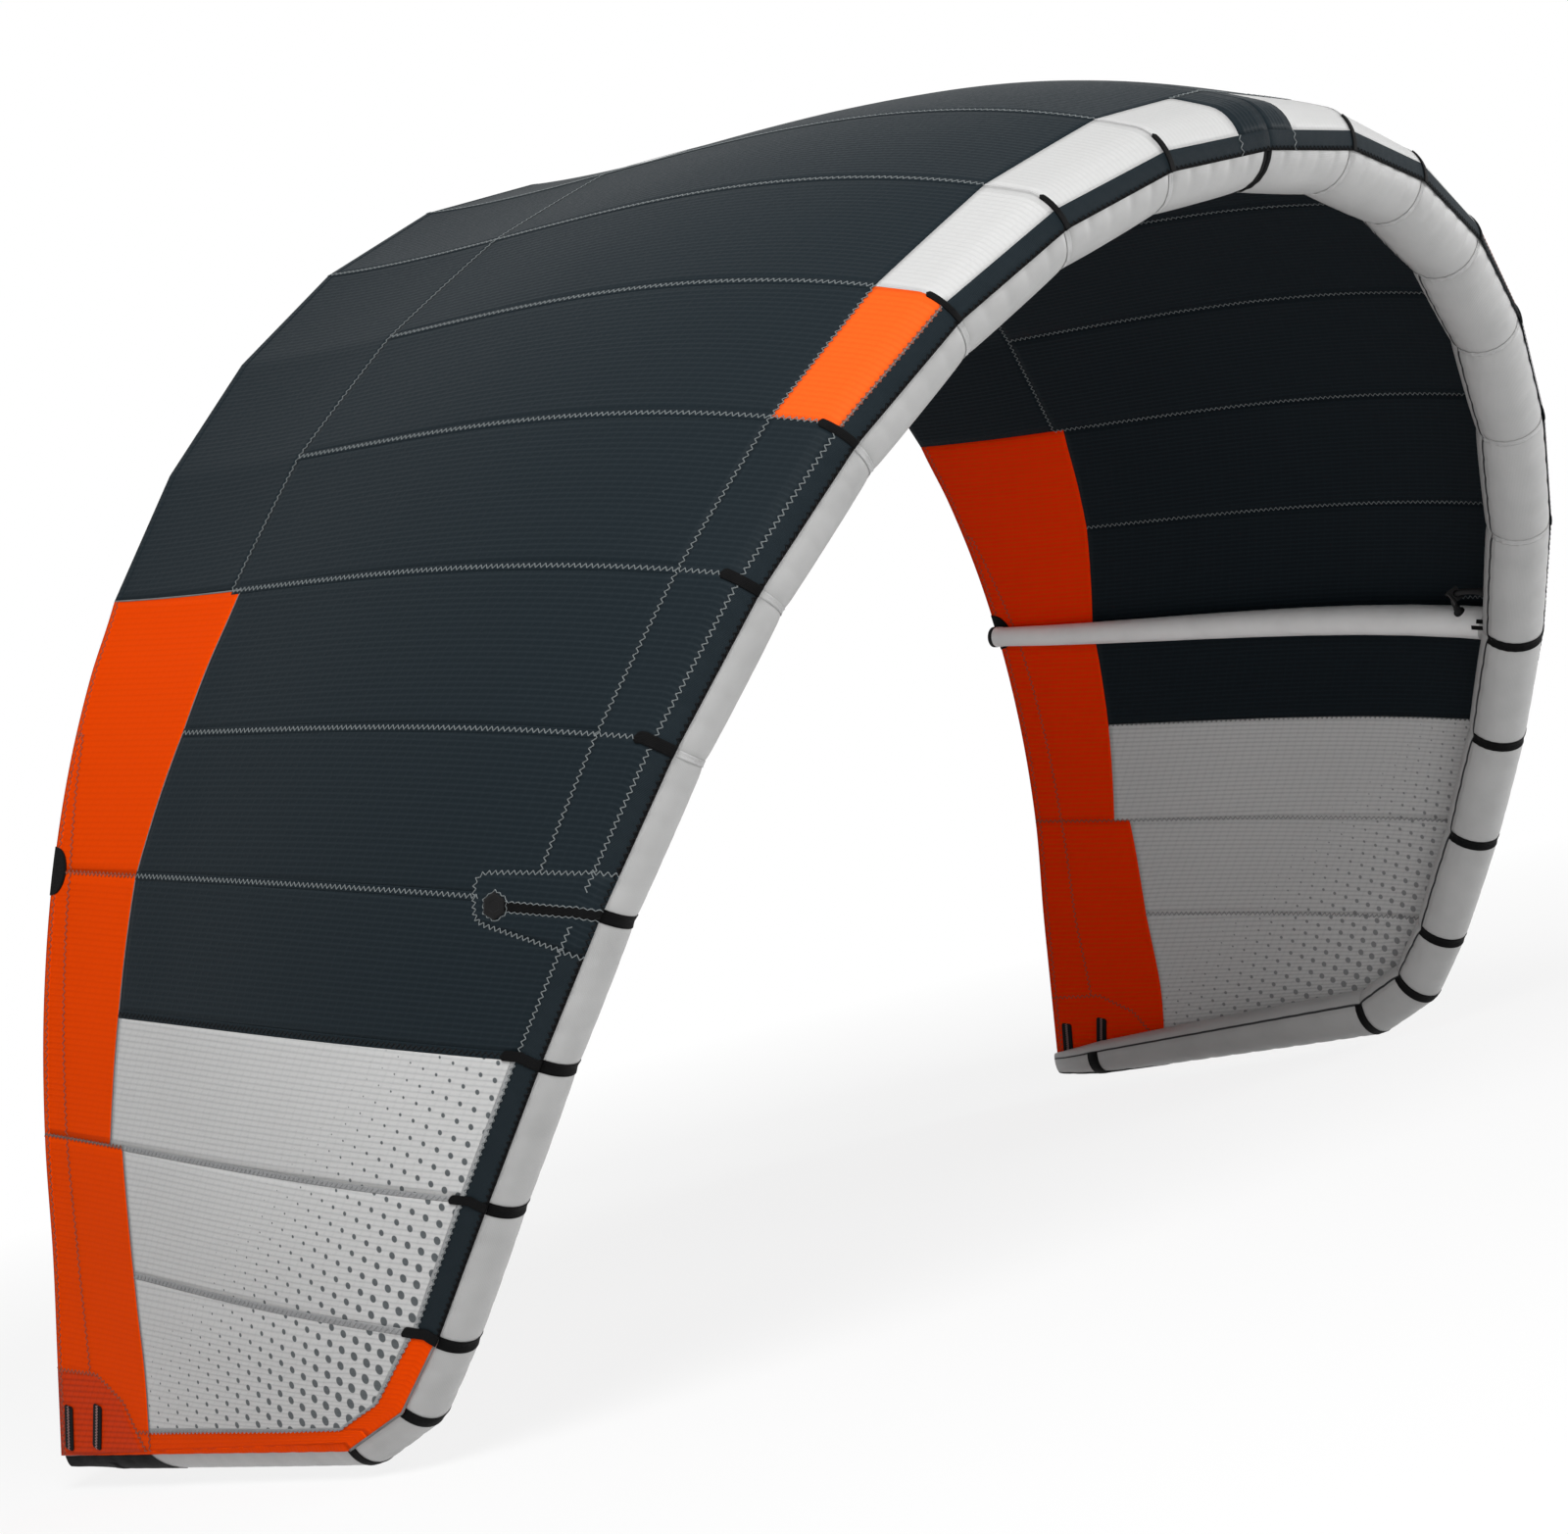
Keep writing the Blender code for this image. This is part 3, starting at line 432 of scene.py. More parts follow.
film_finish, tree, shader = new_finish("bladder_film", 0.25)
mottle = placed(tree, MOTTLE, Size=0.05, Fine_Size=0.003)
tree.links.new(blended(mottle["Tone"], BLADDER_FILM, TUBE_WHITE_PAINTED_SHADE), shader.inputs["Base Color"])
bumped(shader, mottle["Creases"], 0.0006)
half = []
for number, station in enumerate(STATIONS):
    if number < TIP_END:
        half.append([station.round_point(angle, station.radius - BLADDER_INSET) for angle in ROUND[::2]])
    else:
        half.append([tube_point(CORNER, BLADDER_END, angle, -BLADDER_INSET) for angle in ROUND[::2]])
other_half = [[Vector((-point.x, point.y, point.z)) for point in ring] for ring in half[:0:-1]]
ends = [[sum(ring, Vector()) / len(ring)] * len(ring) for ring in (other_half[0], half[-1])]
rings = [ends[0]] + other_half + half + [ends[1]]
piece("tube_bladder", rings, BLADDER_UV, film_finish, closed=True, nodes=["le_bladder"])


# Seams of the tube: every joint between two panels is covered by a strip of cloth sewn round the tube.
# The strips are black at mid span and from the side struts out to the tips, and white between them. They
# run from the lengthwise seam round the front to the canopy, and a dark stitched line marks that seam.
BAND_WIDTH = 0.019
PALE_BAND_WIDTH = 0.010
BAND_LIFT = 0.0014
BAND_STEPS = 64
LENGTHWISE_WIDTH = 0.0050
LENGTHWISE_TAPE = 0.018
LENGTHWISE_LIFT = 0.0005
LENGTHWISE_UV = 0.01
BLACK_SEAMS = [0] + list(range(7, CORNER + 1))
TIP_BAND = 0.14                         # from the end of the tip
TIP_BAND_WIDTH = 0.026
TAPE_BLACK = (0.0026, 0.0026, 0.0028)
TAPE_WORN = (0.0070, 0.0070, 0.0075)
PALE_BAND = (0.60, 0.60, 0.60)
SEAM_LINE = (0.045, 0.046, 0.048)


def taped(name, colour, worn):
    """Adhesive-backed polyester tape: close woven, matt, rubbed lighter here and there."""
    finish, tree, shader = new_finish(name, 0.6)
    weave = placed(tree, WEAVE, Rib_Pitch=0.0021, Cross_Pitch=0.0021, Thread_Pitch=0.0011)
    mottle = placed(tree, MOTTLE, Size=0.03, Fine_Size=0.002)
    rubbed = times(mottle["Tone"], times_plus(weave["Ribs"], 0.5, 0.5))
    tree.links.new(blended(rubbed, colour, worn), shader.inputs["Base Color"])
    tree.links.new(times_plus(mottle["Grain"], 0.25, 0.48), shader.inputs["Roughness"])
    bumped(shader, weave["Height"], 0.0004)
    shader.inputs["Specular IOR Level"].default_value = 0.05
    return finish


black_tape = taped("black_tape", TAPE_BLACK, TAPE_WORN)
pale_tape = taped("pale_tape", PALE_BAND, TUBE_WHITE_PAINTED_SHADE)
line_tape = taped("seam_line", SEAM_LINE, tuple(2 * part for part in SEAM_LINE))


def thick(thing, thickness, inside=None):
    """Thickness of a sheet, inwards from its outside, with another finish inside where it has one."""
    solidify = thing.modifiers.new("thickness", "SOLIDIFY")
    solidify.thickness = thickness
    solidify.offset = -1.0
    if inside:
        thing.data.materials.append(inside)
        solidify.material_offset = 1


def tube_band(name, places, last_angle, finish, side):
    """Strip round the tube from its lengthwise seam, through places given as a panel and a share of it."""
    turn = (last_angle - LENGTHWISE_ANGLE) / BAND_STEPS
    angles = [LENGTHWISE_ANGLE + turn * step for step in range(BAND_STEPS + 1)]
    grid = [[tube_point(panel, share, angle, BAND_LIFT) for angle in angles] for panel, share in places]
    uv = [[(angle * LE_RADIUS_CENTRE, BAND_WIDTH * row) for angle in angles] for row in range(len(places))]
    thick(piece(name, grid, uv, finish, side), BAND_LIFT / 2)


for side in SIDES:
    for number in range(CORNER + 1):
        black = number in BLACK_SEAMS
        reach = (BAND_WIDTH if black else PALE_BAND_WIDTH) / 2
        before = []
        if number:
            step = reach / (LE_POINTS[number] - LE_POINTS[number - 1]).length
            before = [(number - 1, 1 - step), (number - 1, 1 - step / 2)]
        step = reach / (LE_POINTS[number + 1] - LE_POINTS[number]).length
        places = before + [(number, 0.0), (number, step / 2), (number, step)]
        tube_band(f"tube_band_{side}_{number:02d}", places, seam_angle(number) - math.tau,
                  black_tape if black else pale_tape, side)
    middle, reach = 1 - TIP_BAND / TIP_TUBE, TIP_BAND_WIDTH / 2 / TIP_TUBE
    tube_band(f"tube_band_{side}_tip", [(CORNER, middle + part * reach) for part in (-1, 0, 1)],
              seam_angle(SEAMS) - math.tau, black_tape, side)
    for label, width, lift, finish in (("tape", LENGTHWISE_TAPE, LENGTHWISE_LIFT, tube_finish),
                                       ("line", LENGTHWISE_WIDTH, 2 * LENGTHWISE_LIFT, line_tape)):
        grid = []
        for panel in range(TIP_END):
            stops = panel_stops(TUBE_STOPS)[:-1]
            if panel == CORNER:
                stops = [stop * TIP_SHARE for stop in panel_stops(TUBE_STOPS)]
            turn = width / 2 / LE_RADII[panel]
            angles = [LENGTHWISE_ANGLE + turn * part for part in (1, 0, -1)]
            grid += [[tube_point(panel, stop, angle, lift) for angle in angles] for stop in stops]
        piece(f"tube_seam_{label}_{side}", grid, (width, LENGTHWISE_UV), finish, side)


# Canopy: ripstop cloth cut in panels from seam to seam and sewn to the top of the tube, which it wraps and
# leaves at a tangent. Dark slate over most of the span, white along the leading edge and at the tips, and
# orange where the trailing edge is doubled. The wind and the tubes hold it taut, a little full between seams.
CAMBER_CENTRE = 0.045
CAMBER_TIP = 0.031
CAMBER_FALL = 1.90                      # how far forward the deepest camber lies
CLOTH_OFF_TUBE = 0.0033
WRAP_STEPS = 24
FREE_STEPS = 90
FULLNESS = 0.005                        # billow of the cloth between two seams
FULL_REACH = 0.30                       # over which it swells, behind the tube and before the trailing panels
FULL_END = 0.82
DOUBLED = (0.70, 0.80)                  # shares of the line over which the cloth starts to bend evenly
TIP_EASE = (0.10, 0.25)                 # and the same in the wing tip
EASE_ROWS = (0.6, 0.4)                  # panels over which it starts, at the trailing edge and in the tip
TANGENT_ROUNDS = 4                      # of the search for the place where the cloth leaves the tube
CLOTH_THICK = 0.0008
LINE_POINTS = 401
ROW_STEPS = 14                          # cloth mesh, across each panel
STRIP_COLUMNS = 8                       # and along the panels of each kind
BAND_COLUMNS = 12
MAIN_COLUMNS = 72
REAR_COLUMNS = 28
BORDER_ROWS = 7
STRIP_EDGE = ((0, 0.032), (3, 0.035), (7, 0.035), (9, 0.041))   # seam number, and metres behind the stitching
BAND_EDGE = ((0, 0.178), (7, 0.122))
BAND_START = 0.29                       # seam number where the white band begins
BAND_PATCH = (3, 4)                     # seams of the orange patch in the band
STRUT_SEAM = 7                          # seam that a side strut lies under
BAND_END = STRUT_SEAM
TIP_SEAM = 8                            # seam from which the tip's panels are white
EDGE_SEAM = 5                           # seam from which the trailing edge is orange
SPLIT_SEAM = 9                          # seams where the orange panels and the dark ones are joined
DARK_SEAM = 2
FRONT_BANDS = ((0, BAND_START, "dark_cloth"), (BAND_START, 1, "pale_cloth"), (1, 2, "pale_cloth"),
               (2, BAND_PATCH[0], "pale_cloth"), (*BAND_PATCH, "orange_cloth"),
               (BAND_PATCH[1], BAND_END, "dark_cloth"))     # first and last seam, and cloth
DARK_EDGE = ((0, 0.720), (2, 0.735), (4, 0.771), (5, 0.776))     # seam number, and share of the line
ORANGE_EDGE = ((5, 0.760), (6, 0.781), (7, 0.816), (8, 0.818), (9, 0.823))
TIP_EDGE = ((9, 0.790), (11.75, 0.680), (12, 0.6705))
BORDER_EDGE = ((10, 0.046), (10.93, 0.060), (11.65, 0.0806))
BORDER_LOW = (11.65, 11.75)             # front and rear ends of the border along the tip tube
BORDER_ROUND = (88, 106, 92)            # degrees round that tube: upper edge, lower edge in front and behind
BORDER_LIFT = 0.0022
SLATE = (0.0100, 0.0155, 0.0195)
SLATE_RIB = (0.0165, 0.0235, 0.0285)
WHITE = (0.56, 0.56, 0.555)
WHITE_RIB = (0.43, 0.435, 0.44)
BAND_RIB = (0.53, 0.53, 0.53)
ORANGE = (0.80, 0.060, 0.0004)
ORANGE_RIB = (0.75, 0.053, 0.0004)
PALE_ORANGE = (0.93, 0.115, 0.014)
PALE_ORANGE_RIB = (0.86, 0.10, 0.012)
DOT_PITCH = 0.026                       # print on the white panels of the tips
DOT_SLANT = math.radians(27)
DOT_LARGEST = 0.46                      # radius, as a share of the pitch
DOT_SOFT = 0.05
DOT_START = 0.50                        # their size at the origin, and how it falls towards the rear and up
DOT_FADE = (0.85, 1.60)
DOT_SLATE = (0.035, 0.046, 0.052)
DOT_INSIDE = (0.22, 0.225, 0.23)
# Inside faces: the same cloths in other tones, the slate darker as painted shade under the canopy, the white
# lighter and the orange deeper as painted light coming through the cloth.
SLATE_INSIDE_PAINTED_SHADE = (0.0062, 0.0095, 0.0125)
WHITE_INSIDE_PAINTED_LIGHT = (0.62, 0.62, 0.615)
ORANGE_INSIDE_PAINTED_LIGHT = (0.95, 0.030, 0.0003)


class CanopyLine:
    """Outer line of the canopy at one seam: round the tube from its stitching, then off at a tangent."""

    def __init__(self, number, rear, camber):
        station = STATIONS[number]
        radius = station.radius + CLOTH_OFF_TUBE
        seam = seam_angle(number)
        deepest = 1 / (1 + CAMBER_FALL)
        scale = camber / (deepest * (1 - deepest) ** CAMBER_FALL)
        slope = math.atan(scale)
        leaving = math.pi / 2
        for _ in range(TANGENT_ROUNDS if number <= SEAMS else 0):
            chord = (rear - station.round_point(leaving, radius)).normalized()
            rise = math.sin(slope) + math.cos(slope) * chord.dot(station.out)
            leaving = math.pi / 2 + math.atan2(rise, math.cos(slope) * chord.dot(station.back))
        start = station.round_point(leaving, radius)
        chord = rear - start
        up = (station.out - chord * station.out.dot(chord) / chord.length_squared).normalized()
        points = [station.round_point(seam + (leaving - seam) * step / WRAP_STEPS, radius)
                  for step in range(WRAP_STEPS)]
        for step in range(FREE_STEPS + 1):
            c = step / FREE_STEPS
            points.append(start + chord * c + up * scale * c * (1 - c) ** CAMBER_FALL * chord.length)
        self.points = np.array(points)
        steps = np.linalg.norm(np.diff(self.points, axis=0), axis=1)
        self.reached = np.concatenate(([0.0], np.cumsum(steps)))
        self.length = float(self.reached[-1])
        self.wrap = float(self.reached[WRAP_STEPS])

    def at(self, distance):
        """Point at a distance along the line, from the stitching."""
        return Vector([float(np.interp(distance, self.reached, self.points[:, axis])) for axis in range(3)])

    def along(self, distance, reach=0.004):
        return (self.at(distance + reach) - self.at(distance - reach)).normalized()


def canopy_lines():
    """Lines at each seam across the span, then those of the wing tip down to its tube."""
    lines = []
    for number in range(SEAMS + 1):
        camber = CAMBER_CENTRE + (CAMBER_TIP - CAMBER_CENTRE) * number / SEAMS
        lines.append(CanopyLine(number, TE_POINTS[number], camber))
    tip = STATIONS[TIP_END].round_point(math.pi / 2, LE_RADIUS_END + CLOTH_OFF_TUBE)
    lines.append(CanopyLine(SEAMS + 1, TE_POINTS[SEAMS].lerp(tip, 0.5), CAMBER_TIP / 2))
    lines.append(CanopyLine(CORNER, tip, 0.0))
    return lines


CANOPY = canopy_lines()
LAST_ROW = len(CANOPY) - 1
LINE_LENGTHS = np.array([line.length for line in CANOPY])
LINE_WRAPS = np.array([line.wrap for line in CANOPY])
LINE_GRID = np.array([[line.at(share * line.length) for share in np.linspace(0, 1, LINE_POINTS)]
                      for line in CANOPY])
BAY_WIDTHS = np.linalg.norm(np.diff(LINE_GRID, axis=0), axis=-1)
SPAN_METRES = np.concatenate([0 * BAY_WIDTHS[:1], np.cumsum(BAY_WIDTHS, axis=0)])
WIDE_GRID = np.concatenate([LINE_GRID[:1], LINE_GRID, 2 * LINE_GRID[-1:] - LINE_GRID[-2:-1]])


def by_row(values, row):
    """Value between the seams, from one for each seam."""
    return np.interp(row, np.arange(len(values)), values)


def eased(values, first, last):
    """From 0 before the first value to 1 after the last, with soft ends."""
    part = np.clip((values - first) / (last - first), 0, 1)
    return part ** 2 * (3 - 2 * part)


def cloth(row, share, lift=0.0):
    """Points and outward directions on the -X half, at seam numbers and shares of the line between seams."""
    row, share = np.broadcast_arrays(np.asarray(row, dtype=float), np.asarray(share, dtype=float))
    bay = np.clip(row.astype(int), 0, LAST_ROW - 1)
    across = (row - bay)[..., None]
    spot = np.clip(share, 0, 1) * (LINE_POINTS - 1)
    cell = np.clip(spot.astype(int), 0, LINE_POINTS - 2)
    part = (spot - cell)[..., None]
    before, inner, outer, after = (WIDE_GRID[bay + n, cell] * (1 - part) + WIDE_GRID[bay + n, cell + 1] * part
                                   for n in range(4))
    back = sum((LINE_GRID[n, cell + 1] - LINE_GRID[n, cell]) * weight
               for n, weight in ((bay, 1 - across), (bay + 1, across)))
    out = np.cross(back, outer - inner)
    out /= np.linalg.norm(out, axis=-1, keepdims=True)
    free = eased(share * by_row(LINE_LENGTHS, row) - by_row(LINE_WRAPS, row), 0, FULL_REACH)
    fade = (free * np.clip((FULL_END - share) / FULL_REACH, 0, 1))[..., None]
    part_way = np.where(row > SEAMS, (row - SEAMS) / (LAST_ROW - SEAMS), row - bay)[..., None]
    rise = FULLNESS * 4 * part_way * (1 - part_way) * fade + lift
    straight = inner + (outer - inner) * across
    inner_bend, outer_bend = 2 * inner - before - outer, 2 * outer - inner - after
    bow = across * (1 - across) / 2 * ((1 - across) * inner_bend + across * outer_bend)
    rear = eased(row, EDGE_SEAM, EDGE_SEAM + EASE_ROWS[0]) * eased(share, *DOUBLED)
    tip = eased(row, SEAMS, SEAMS + EASE_ROWS[1]) * eased(share, *TIP_EASE)
    return straight + bow * np.maximum(rear, tip)[..., None] + out * rise, out


def out_along_span(row, share):
    """Metres from mid span to a place on the cloth, across the panels."""
    bay = np.clip(row.astype(int), 0, LAST_ROW - 1)
    spot = np.clip(np.rint(share * (LINE_POINTS - 1)).astype(int), 0, LINE_POINTS - 1)
    return SPAN_METRES[bay, spot] + (row - bay) * (SPAN_METRES[bay + 1, spot] - SPAN_METRES[bay, spot])


def cloth_uv(row, share):
    """Metres across a panel from its middle, and along it from the leading edge."""
    middle = np.full_like(row, (row.min() + row.max()) / 2)
    across = out_along_span(row, share) - out_along_span(middle, share)
    return np.stack([across, share * by_row(LINE_LENGTHS, row)], axis=-1)


def dots_group():
    """Print of round dots on a slanted grid, largest low at the leading edge and fading up and back."""
    tree, given, made = new_group("dots", ["Pitch"], ["Dots"])
    place = tree.nodes.new("ShaderNodeTexCoord")
    split = tree.nodes.new("ShaderNodeSeparateXYZ")
    tree.links.new(place.outputs["Object"], split.inputs[0])
    back, up = split.outputs[1], split.outputs[2]
    offsets = []
    for first, second, sign in ((back, up, 1.0), (up, back, -1.0)):
        turned = times_plus(second, sign * math.sin(DOT_SLANT), times(first, math.cos(DOT_SLANT)))
        cell = maths("FRACT", maths("DIVIDE", turned, given["Pitch"]))
        offset = maths("ABSOLUTE", maths("SUBTRACT", cell, 0.5))
        offsets.append(maths("POWER", offset, 2.0))
    distance = maths("SQRT", maths("ADD", *offsets))
    fade = times_plus(up, -DOT_FADE[1], times_plus(back, -DOT_FADE[0], DOT_START))
    size = times(clamped(fade), DOT_LARGEST)
    edge_of = maths("DIVIDE", maths("SUBTRACT", size, distance), DOT_SOFT)
    tree.links.new(clamped(edge_of), made["Dots"])
    return tree


DOTS = dots_group()


def ripstop(name, colour, rib, shine, print_colour=None):
    """Ripstop spinnaker cloth: fine weave with raised ribs along the panel, satin, slightly creased."""
    finish, tree, shader = new_finish(name, 0.5)
    weave = placed(tree, WEAVE, Rib_Pitch=0.0095, Cross_Pitch=0.0190, Thread_Pitch=0.0016)
    mottle = placed(tree, MOTTLE, Size=0.35, Fine_Size=0.006)
    marks = times_plus(weave["Crossing"], 0.25, weave["Ribs"])
    marks = times(marks, times_plus(mottle["Grain"], 0.7, 0.35))
    shaded = blended(maths("MINIMUM", marks, 1.0), colour, rib)
    tone = times(mottle["Tone"], 0.22)
    cloth_tone = blended(tone, shaded, tuple(0.72 * part for part in colour))
    if print_colour:
        dots = placed(tree, DOTS, Pitch=DOT_PITCH)["Dots"]
        cloth_tone = blended(times(dots, 0.9), cloth_tone, print_colour)
    tree.links.new(cloth_tone, shader.inputs["Base Color"])
    tree.links.new(times_plus(mottle["Grain"], 0.2, 0.42), shader.inputs["Roughness"])
    relief = times_plus(mottle["Creases"], 0.8, times(weave["Height"], 0.22))
    bumped(shader, relief, 0.0015)
    shader.inputs["Specular IOR Level"].default_value = shine
    return finish


CLOTHS = {"dark_cloth": ripstop("slate_ripstop", SLATE, SLATE_RIB, 0.04),
          "pale_cloth": ripstop("white_ripstop", WHITE, WHITE_RIB, 0.25),
          "orange_cloth": ripstop("orange_ripstop", ORANGE, ORANGE_RIB, 0.015)}
# Lit and shaded copies of the outside cloths for the inside faces: painted shade on the slate, painted light
# through the white and the orange.
INSIDES_PAINTED_LIGHT_AND_SHADE = {"dark_cloth": ripstop("slate_inside_painted_shade", SLATE_INSIDE_PAINTED_SHADE, SLATE, 0.03),
           "pale_cloth": ripstop("white_inside_painted_light", WHITE_INSIDE_PAINTED_LIGHT, WHITE_RIB, 0.10),
           "orange_cloth": ripstop("orange_inside_painted_light", ORANGE_INSIDE_PAINTED_LIGHT, ORANGE, 0.015)}
printed_white = ripstop("printed_ripstop", WHITE, WHITE_RIB, 0.25, DOT_SLATE)
band_white = ripstop("band_ripstop", WHITE, BAND_RIB, 0.25)
printed_inside_painted_light = ripstop("printed_inside_painted_light", WHITE_INSIDE_PAINTED_LIGHT, WHITE_RIB, 0.10, DOT_INSIDE)
pale_orange = ripstop("pale_orange_ripstop", PALE_ORANGE, PALE_ORANGE_RIB, 0.02)
strip_cloth = taped("slate_strip", SLATE, SLATE_RIB)


def edge(corners):
    """Share of the line at any seam number, straight between the corners of a panel's edge."""
    rows, shares = zip(*corners)
    return lambda row: np.interp(row, rows, shares)


def metres(*corners):
    """Share of the line at any seam number, for an edge given in metres behind the leading edge."""
    rows, distances = zip(*corners)
    return lambda row: np.interp(row, rows, distances) / by_row(LINE_LENGTHS, row)


def cloth_panel(name, side, first, last, front, rear, slot, nodes, columns, finish=None):
    """One cut panel of the canopy, from seam to seam and from its front edge to its rear edge."""
    count = max(round((last - first) * ROW_STEPS), 2)
    rows = np.linspace(first, last, count + 1)[:, None]
    part = np.linspace(0, 1, columns + 1)[None, :]
    shares = front(rows) * (1 - part) + rear(rows) * part
    cut_panel(name, side, rows + 0 * part, shares, slot, nodes, finish)


def cut_panel(name, side, rows, shares, slot, nodes, finish=None):
    """Panel through a grid of seam numbers and shares."""
    grid, _ = cloth(rows, shares)
    panel = piece(name, grid, cloth_uv(rows, shares), finish or CLOTHS[slot], side, nodes=nodes)
    # The inner face gets the painted-light or painted-shade copy of its cloth.
    thick(panel, CLOTH_THICK, printed_inside_painted_light if finish is printed_white else INSIDES_PAINTED_LIGHT_AND_SHADE[slot])


def main_node(side, row):
    """Solid of the canopy that a panel belongs to, by its inner seam: one for every two panels."""
    return f"canopy_panel_{side}_{int(row) // 2 + 1}"


nose, strip_edge, band_edge = metres((0, 0.0)), metres(*STRIP_EDGE), metres(*BAND_EDGE)
dark_edge, orange_edge = edge(DARK_EDGE), edge(ORANGE_EDGE)
tip_edge, border_edge = edge(TIP_EDGE), edge(BORDER_EDGE)
trailing = edge(((0, 1.0), (LAST_ROW, 1.0)))
for side in SIDES:
    cloth_panel(f"edge_strip_{side}", side, 0, SEAMS, nose, strip_edge, "dark_cloth", [f"le_strip_{side}"],
                STRIP_COLUMNS, strip_cloth)
    for first, last, slot in FRONT_BANDS:
        cloth_panel(f"front_band_{side}_{int(first * 10):02d}", side, first, last, strip_edge, band_edge,
                    slot, [main_node(side, first)], BAND_COLUMNS,
                    {"orange_cloth": pale_orange, "pale_cloth": band_white}.get(slot))
    for row in range(SPLIT_SEAM + 1):
        front = band_edge if row < BAND_END else strip_edge
        rear = dark_edge if row < EDGE_SEAM else orange_edge if row < SPLIT_SEAM else tip_edge
        slot = "dark_cloth" if row < TIP_SEAM else "pale_cloth"
        cloth_panel(f"main_panel_{side}_{row + 1:02d}", side, row, row + 1, front, rear, slot,
                    [main_node(side, row)], MAIN_COLUMNS,
                    printed_white if row >= TIP_SEAM else None)
    for label, first, last, front in (("centre", 0, DARK_SEAM, dark_edge),
                                      ("shoulder", DARK_SEAM, EDGE_SEAM, dark_edge),
                                      ("upper", EDGE_SEAM, STRUT_SEAM, orange_edge),
                                      ("lower", STRUT_SEAM, SPLIT_SEAM, orange_edge),
                                      ("tip", SPLIT_SEAM, LAST_ROW, tip_edge)):
        slot = "dark_cloth" if last <= EDGE_SEAM else "orange_cloth"
        node = "centre" if last <= EDGE_SEAM else "middle" if last <= SPLIT_SEAM else "tip"
        cloth_panel(f"rear_panel_{side}_{label}", side, first, last, front, trailing, slot,
                    [f"te_panel_{side}_{node}"], REAR_COLUMNS)
    # The tip's last panel, cut aslant along its foot, and the border round it in three lengths.
    part = np.linspace(0, 1, MAIN_COLUMNS + 1)
    low = BORDER_LOW[0] + (BORDER_LOW[1] - BORDER_LOW[0]) * part
    rows = SEAMS + (low - SEAMS) * np.linspace(0, 1, 2 * ROW_STEPS + 1)[:, None]
    cut_panel(f"main_panel_{side}_11", side, rows, border_edge(rows) * (1 - part) + tip_edge(rows) * part,
              "pale_cloth", [f"canopy_panel_{side}_6"], printed_white)
    cloth_panel(f"tip_border_{side}_front", side, SEAMS, BORDER_LOW[0], nose, border_edge, "orange_cloth",
                [f"canopy_panel_{side}_6", f"le_strip_{side}"], STRIP_COLUMNS)
    front_end, rear_end = border_edge(BORDER_LOW[0]), tip_edge(BORDER_LOW[1])
    wrapped = np.linspace(0, front_end, STRIP_COLUMNS + 1)[:-1]
    shares = np.concatenate([wrapped, front_end + (rear_end - front_end) * part])
    start = np.interp(shares, (front_end, rear_end), BORDER_LOW)
    rows = start + (LAST_ROW - start) * np.linspace(0, 1, BORDER_ROWS)[:, None]
    cut_panel(f"tip_border_{side}_low", side, rows, shares + 0 * rows, "orange_cloth",
              [f"canopy_panel_{side}_6", f"le_strip_{side}"])
    upper, front_low, rear_low = (math.radians(turn) for turn in BORDER_ROUND)
    grid, uv = [], []
    for stop in panel_stops(TUBE_STOPS):
        lower = front_low + (rear_low - front_low) * stop
        turns = [lower + (upper - lower) * n / (BORDER_ROWS - 1) for n in range(BORDER_ROWS)]
        grid.append([tube_point(CORNER, stop * TIP_SHARE, turn, BORDER_LIFT) for turn in turns])
        uv.append([(stop * TIP_TUBE, turn * LE_RADIUS_TIP) for turn in turns])
    border = piece(f"tip_border_{side}_edge", grid, uv, CLOTHS["orange_cloth"], side)
    thick(border, CLOTH_THICK)


# Seams of the canopy: at each one a panel's edge is folded over its neighbour's, stuck and sewn. The fold is
# a low ridge, greyer on the white cloth. The trailing edge is hemmed, black binding closes the front edge,
# and a narrow grey edge closes the joins between cloths of different colours.
FOLD_WIDTH = 0.013
PALE_FOLD = 0.009
FOLD_LIFT = 0.0003
FOLD_ROWS = 7
HEM_WIDTH = 0.015
HEM_COLUMNS = 4                         # points across a hem or a join, and along the hem at the tip's foot
HEM_POINTS = 81
JOIN_WIDTH = 0.0026
PALE_HEM = 0.008
NOSE_EDGE = 0.004                       # black binding of the canopy's front edge
FOLD_GREY = (0.30, 0.305, 0.31)
JOIN_GREY = (0.115, 0.110, 0.108)

fold_tape = taped("fold_grey", FOLD_GREY, WHITE_RIB)
join_tape = taped("join_grey", JOIN_GREY, FOLD_GREY)


def bay_width(row, share):
    """Metres from one seam to the next, across the panel."""
    bay = np.clip(np.asarray(row, dtype=float).astype(int), 0, LAST_ROW - 1)
    spot = np.clip(np.rint(np.asarray(share) * (LINE_POINTS - 1)).astype(int), 0, LINE_POINTS - 1)
    return BAY_WIDTHS[bay, spot]


def laid(name, side, rows, shares, finish, lift, inside=False):
    """Strip or patch laid on the cloth, through a grid of seam numbers and shares."""
    level = -CLOTH_THICK if inside else lift
    grid, _ = cloth(rows, shares, level)
    thick(piece(name, grid, cloth_uv(rows, shares), finish, side), lift)


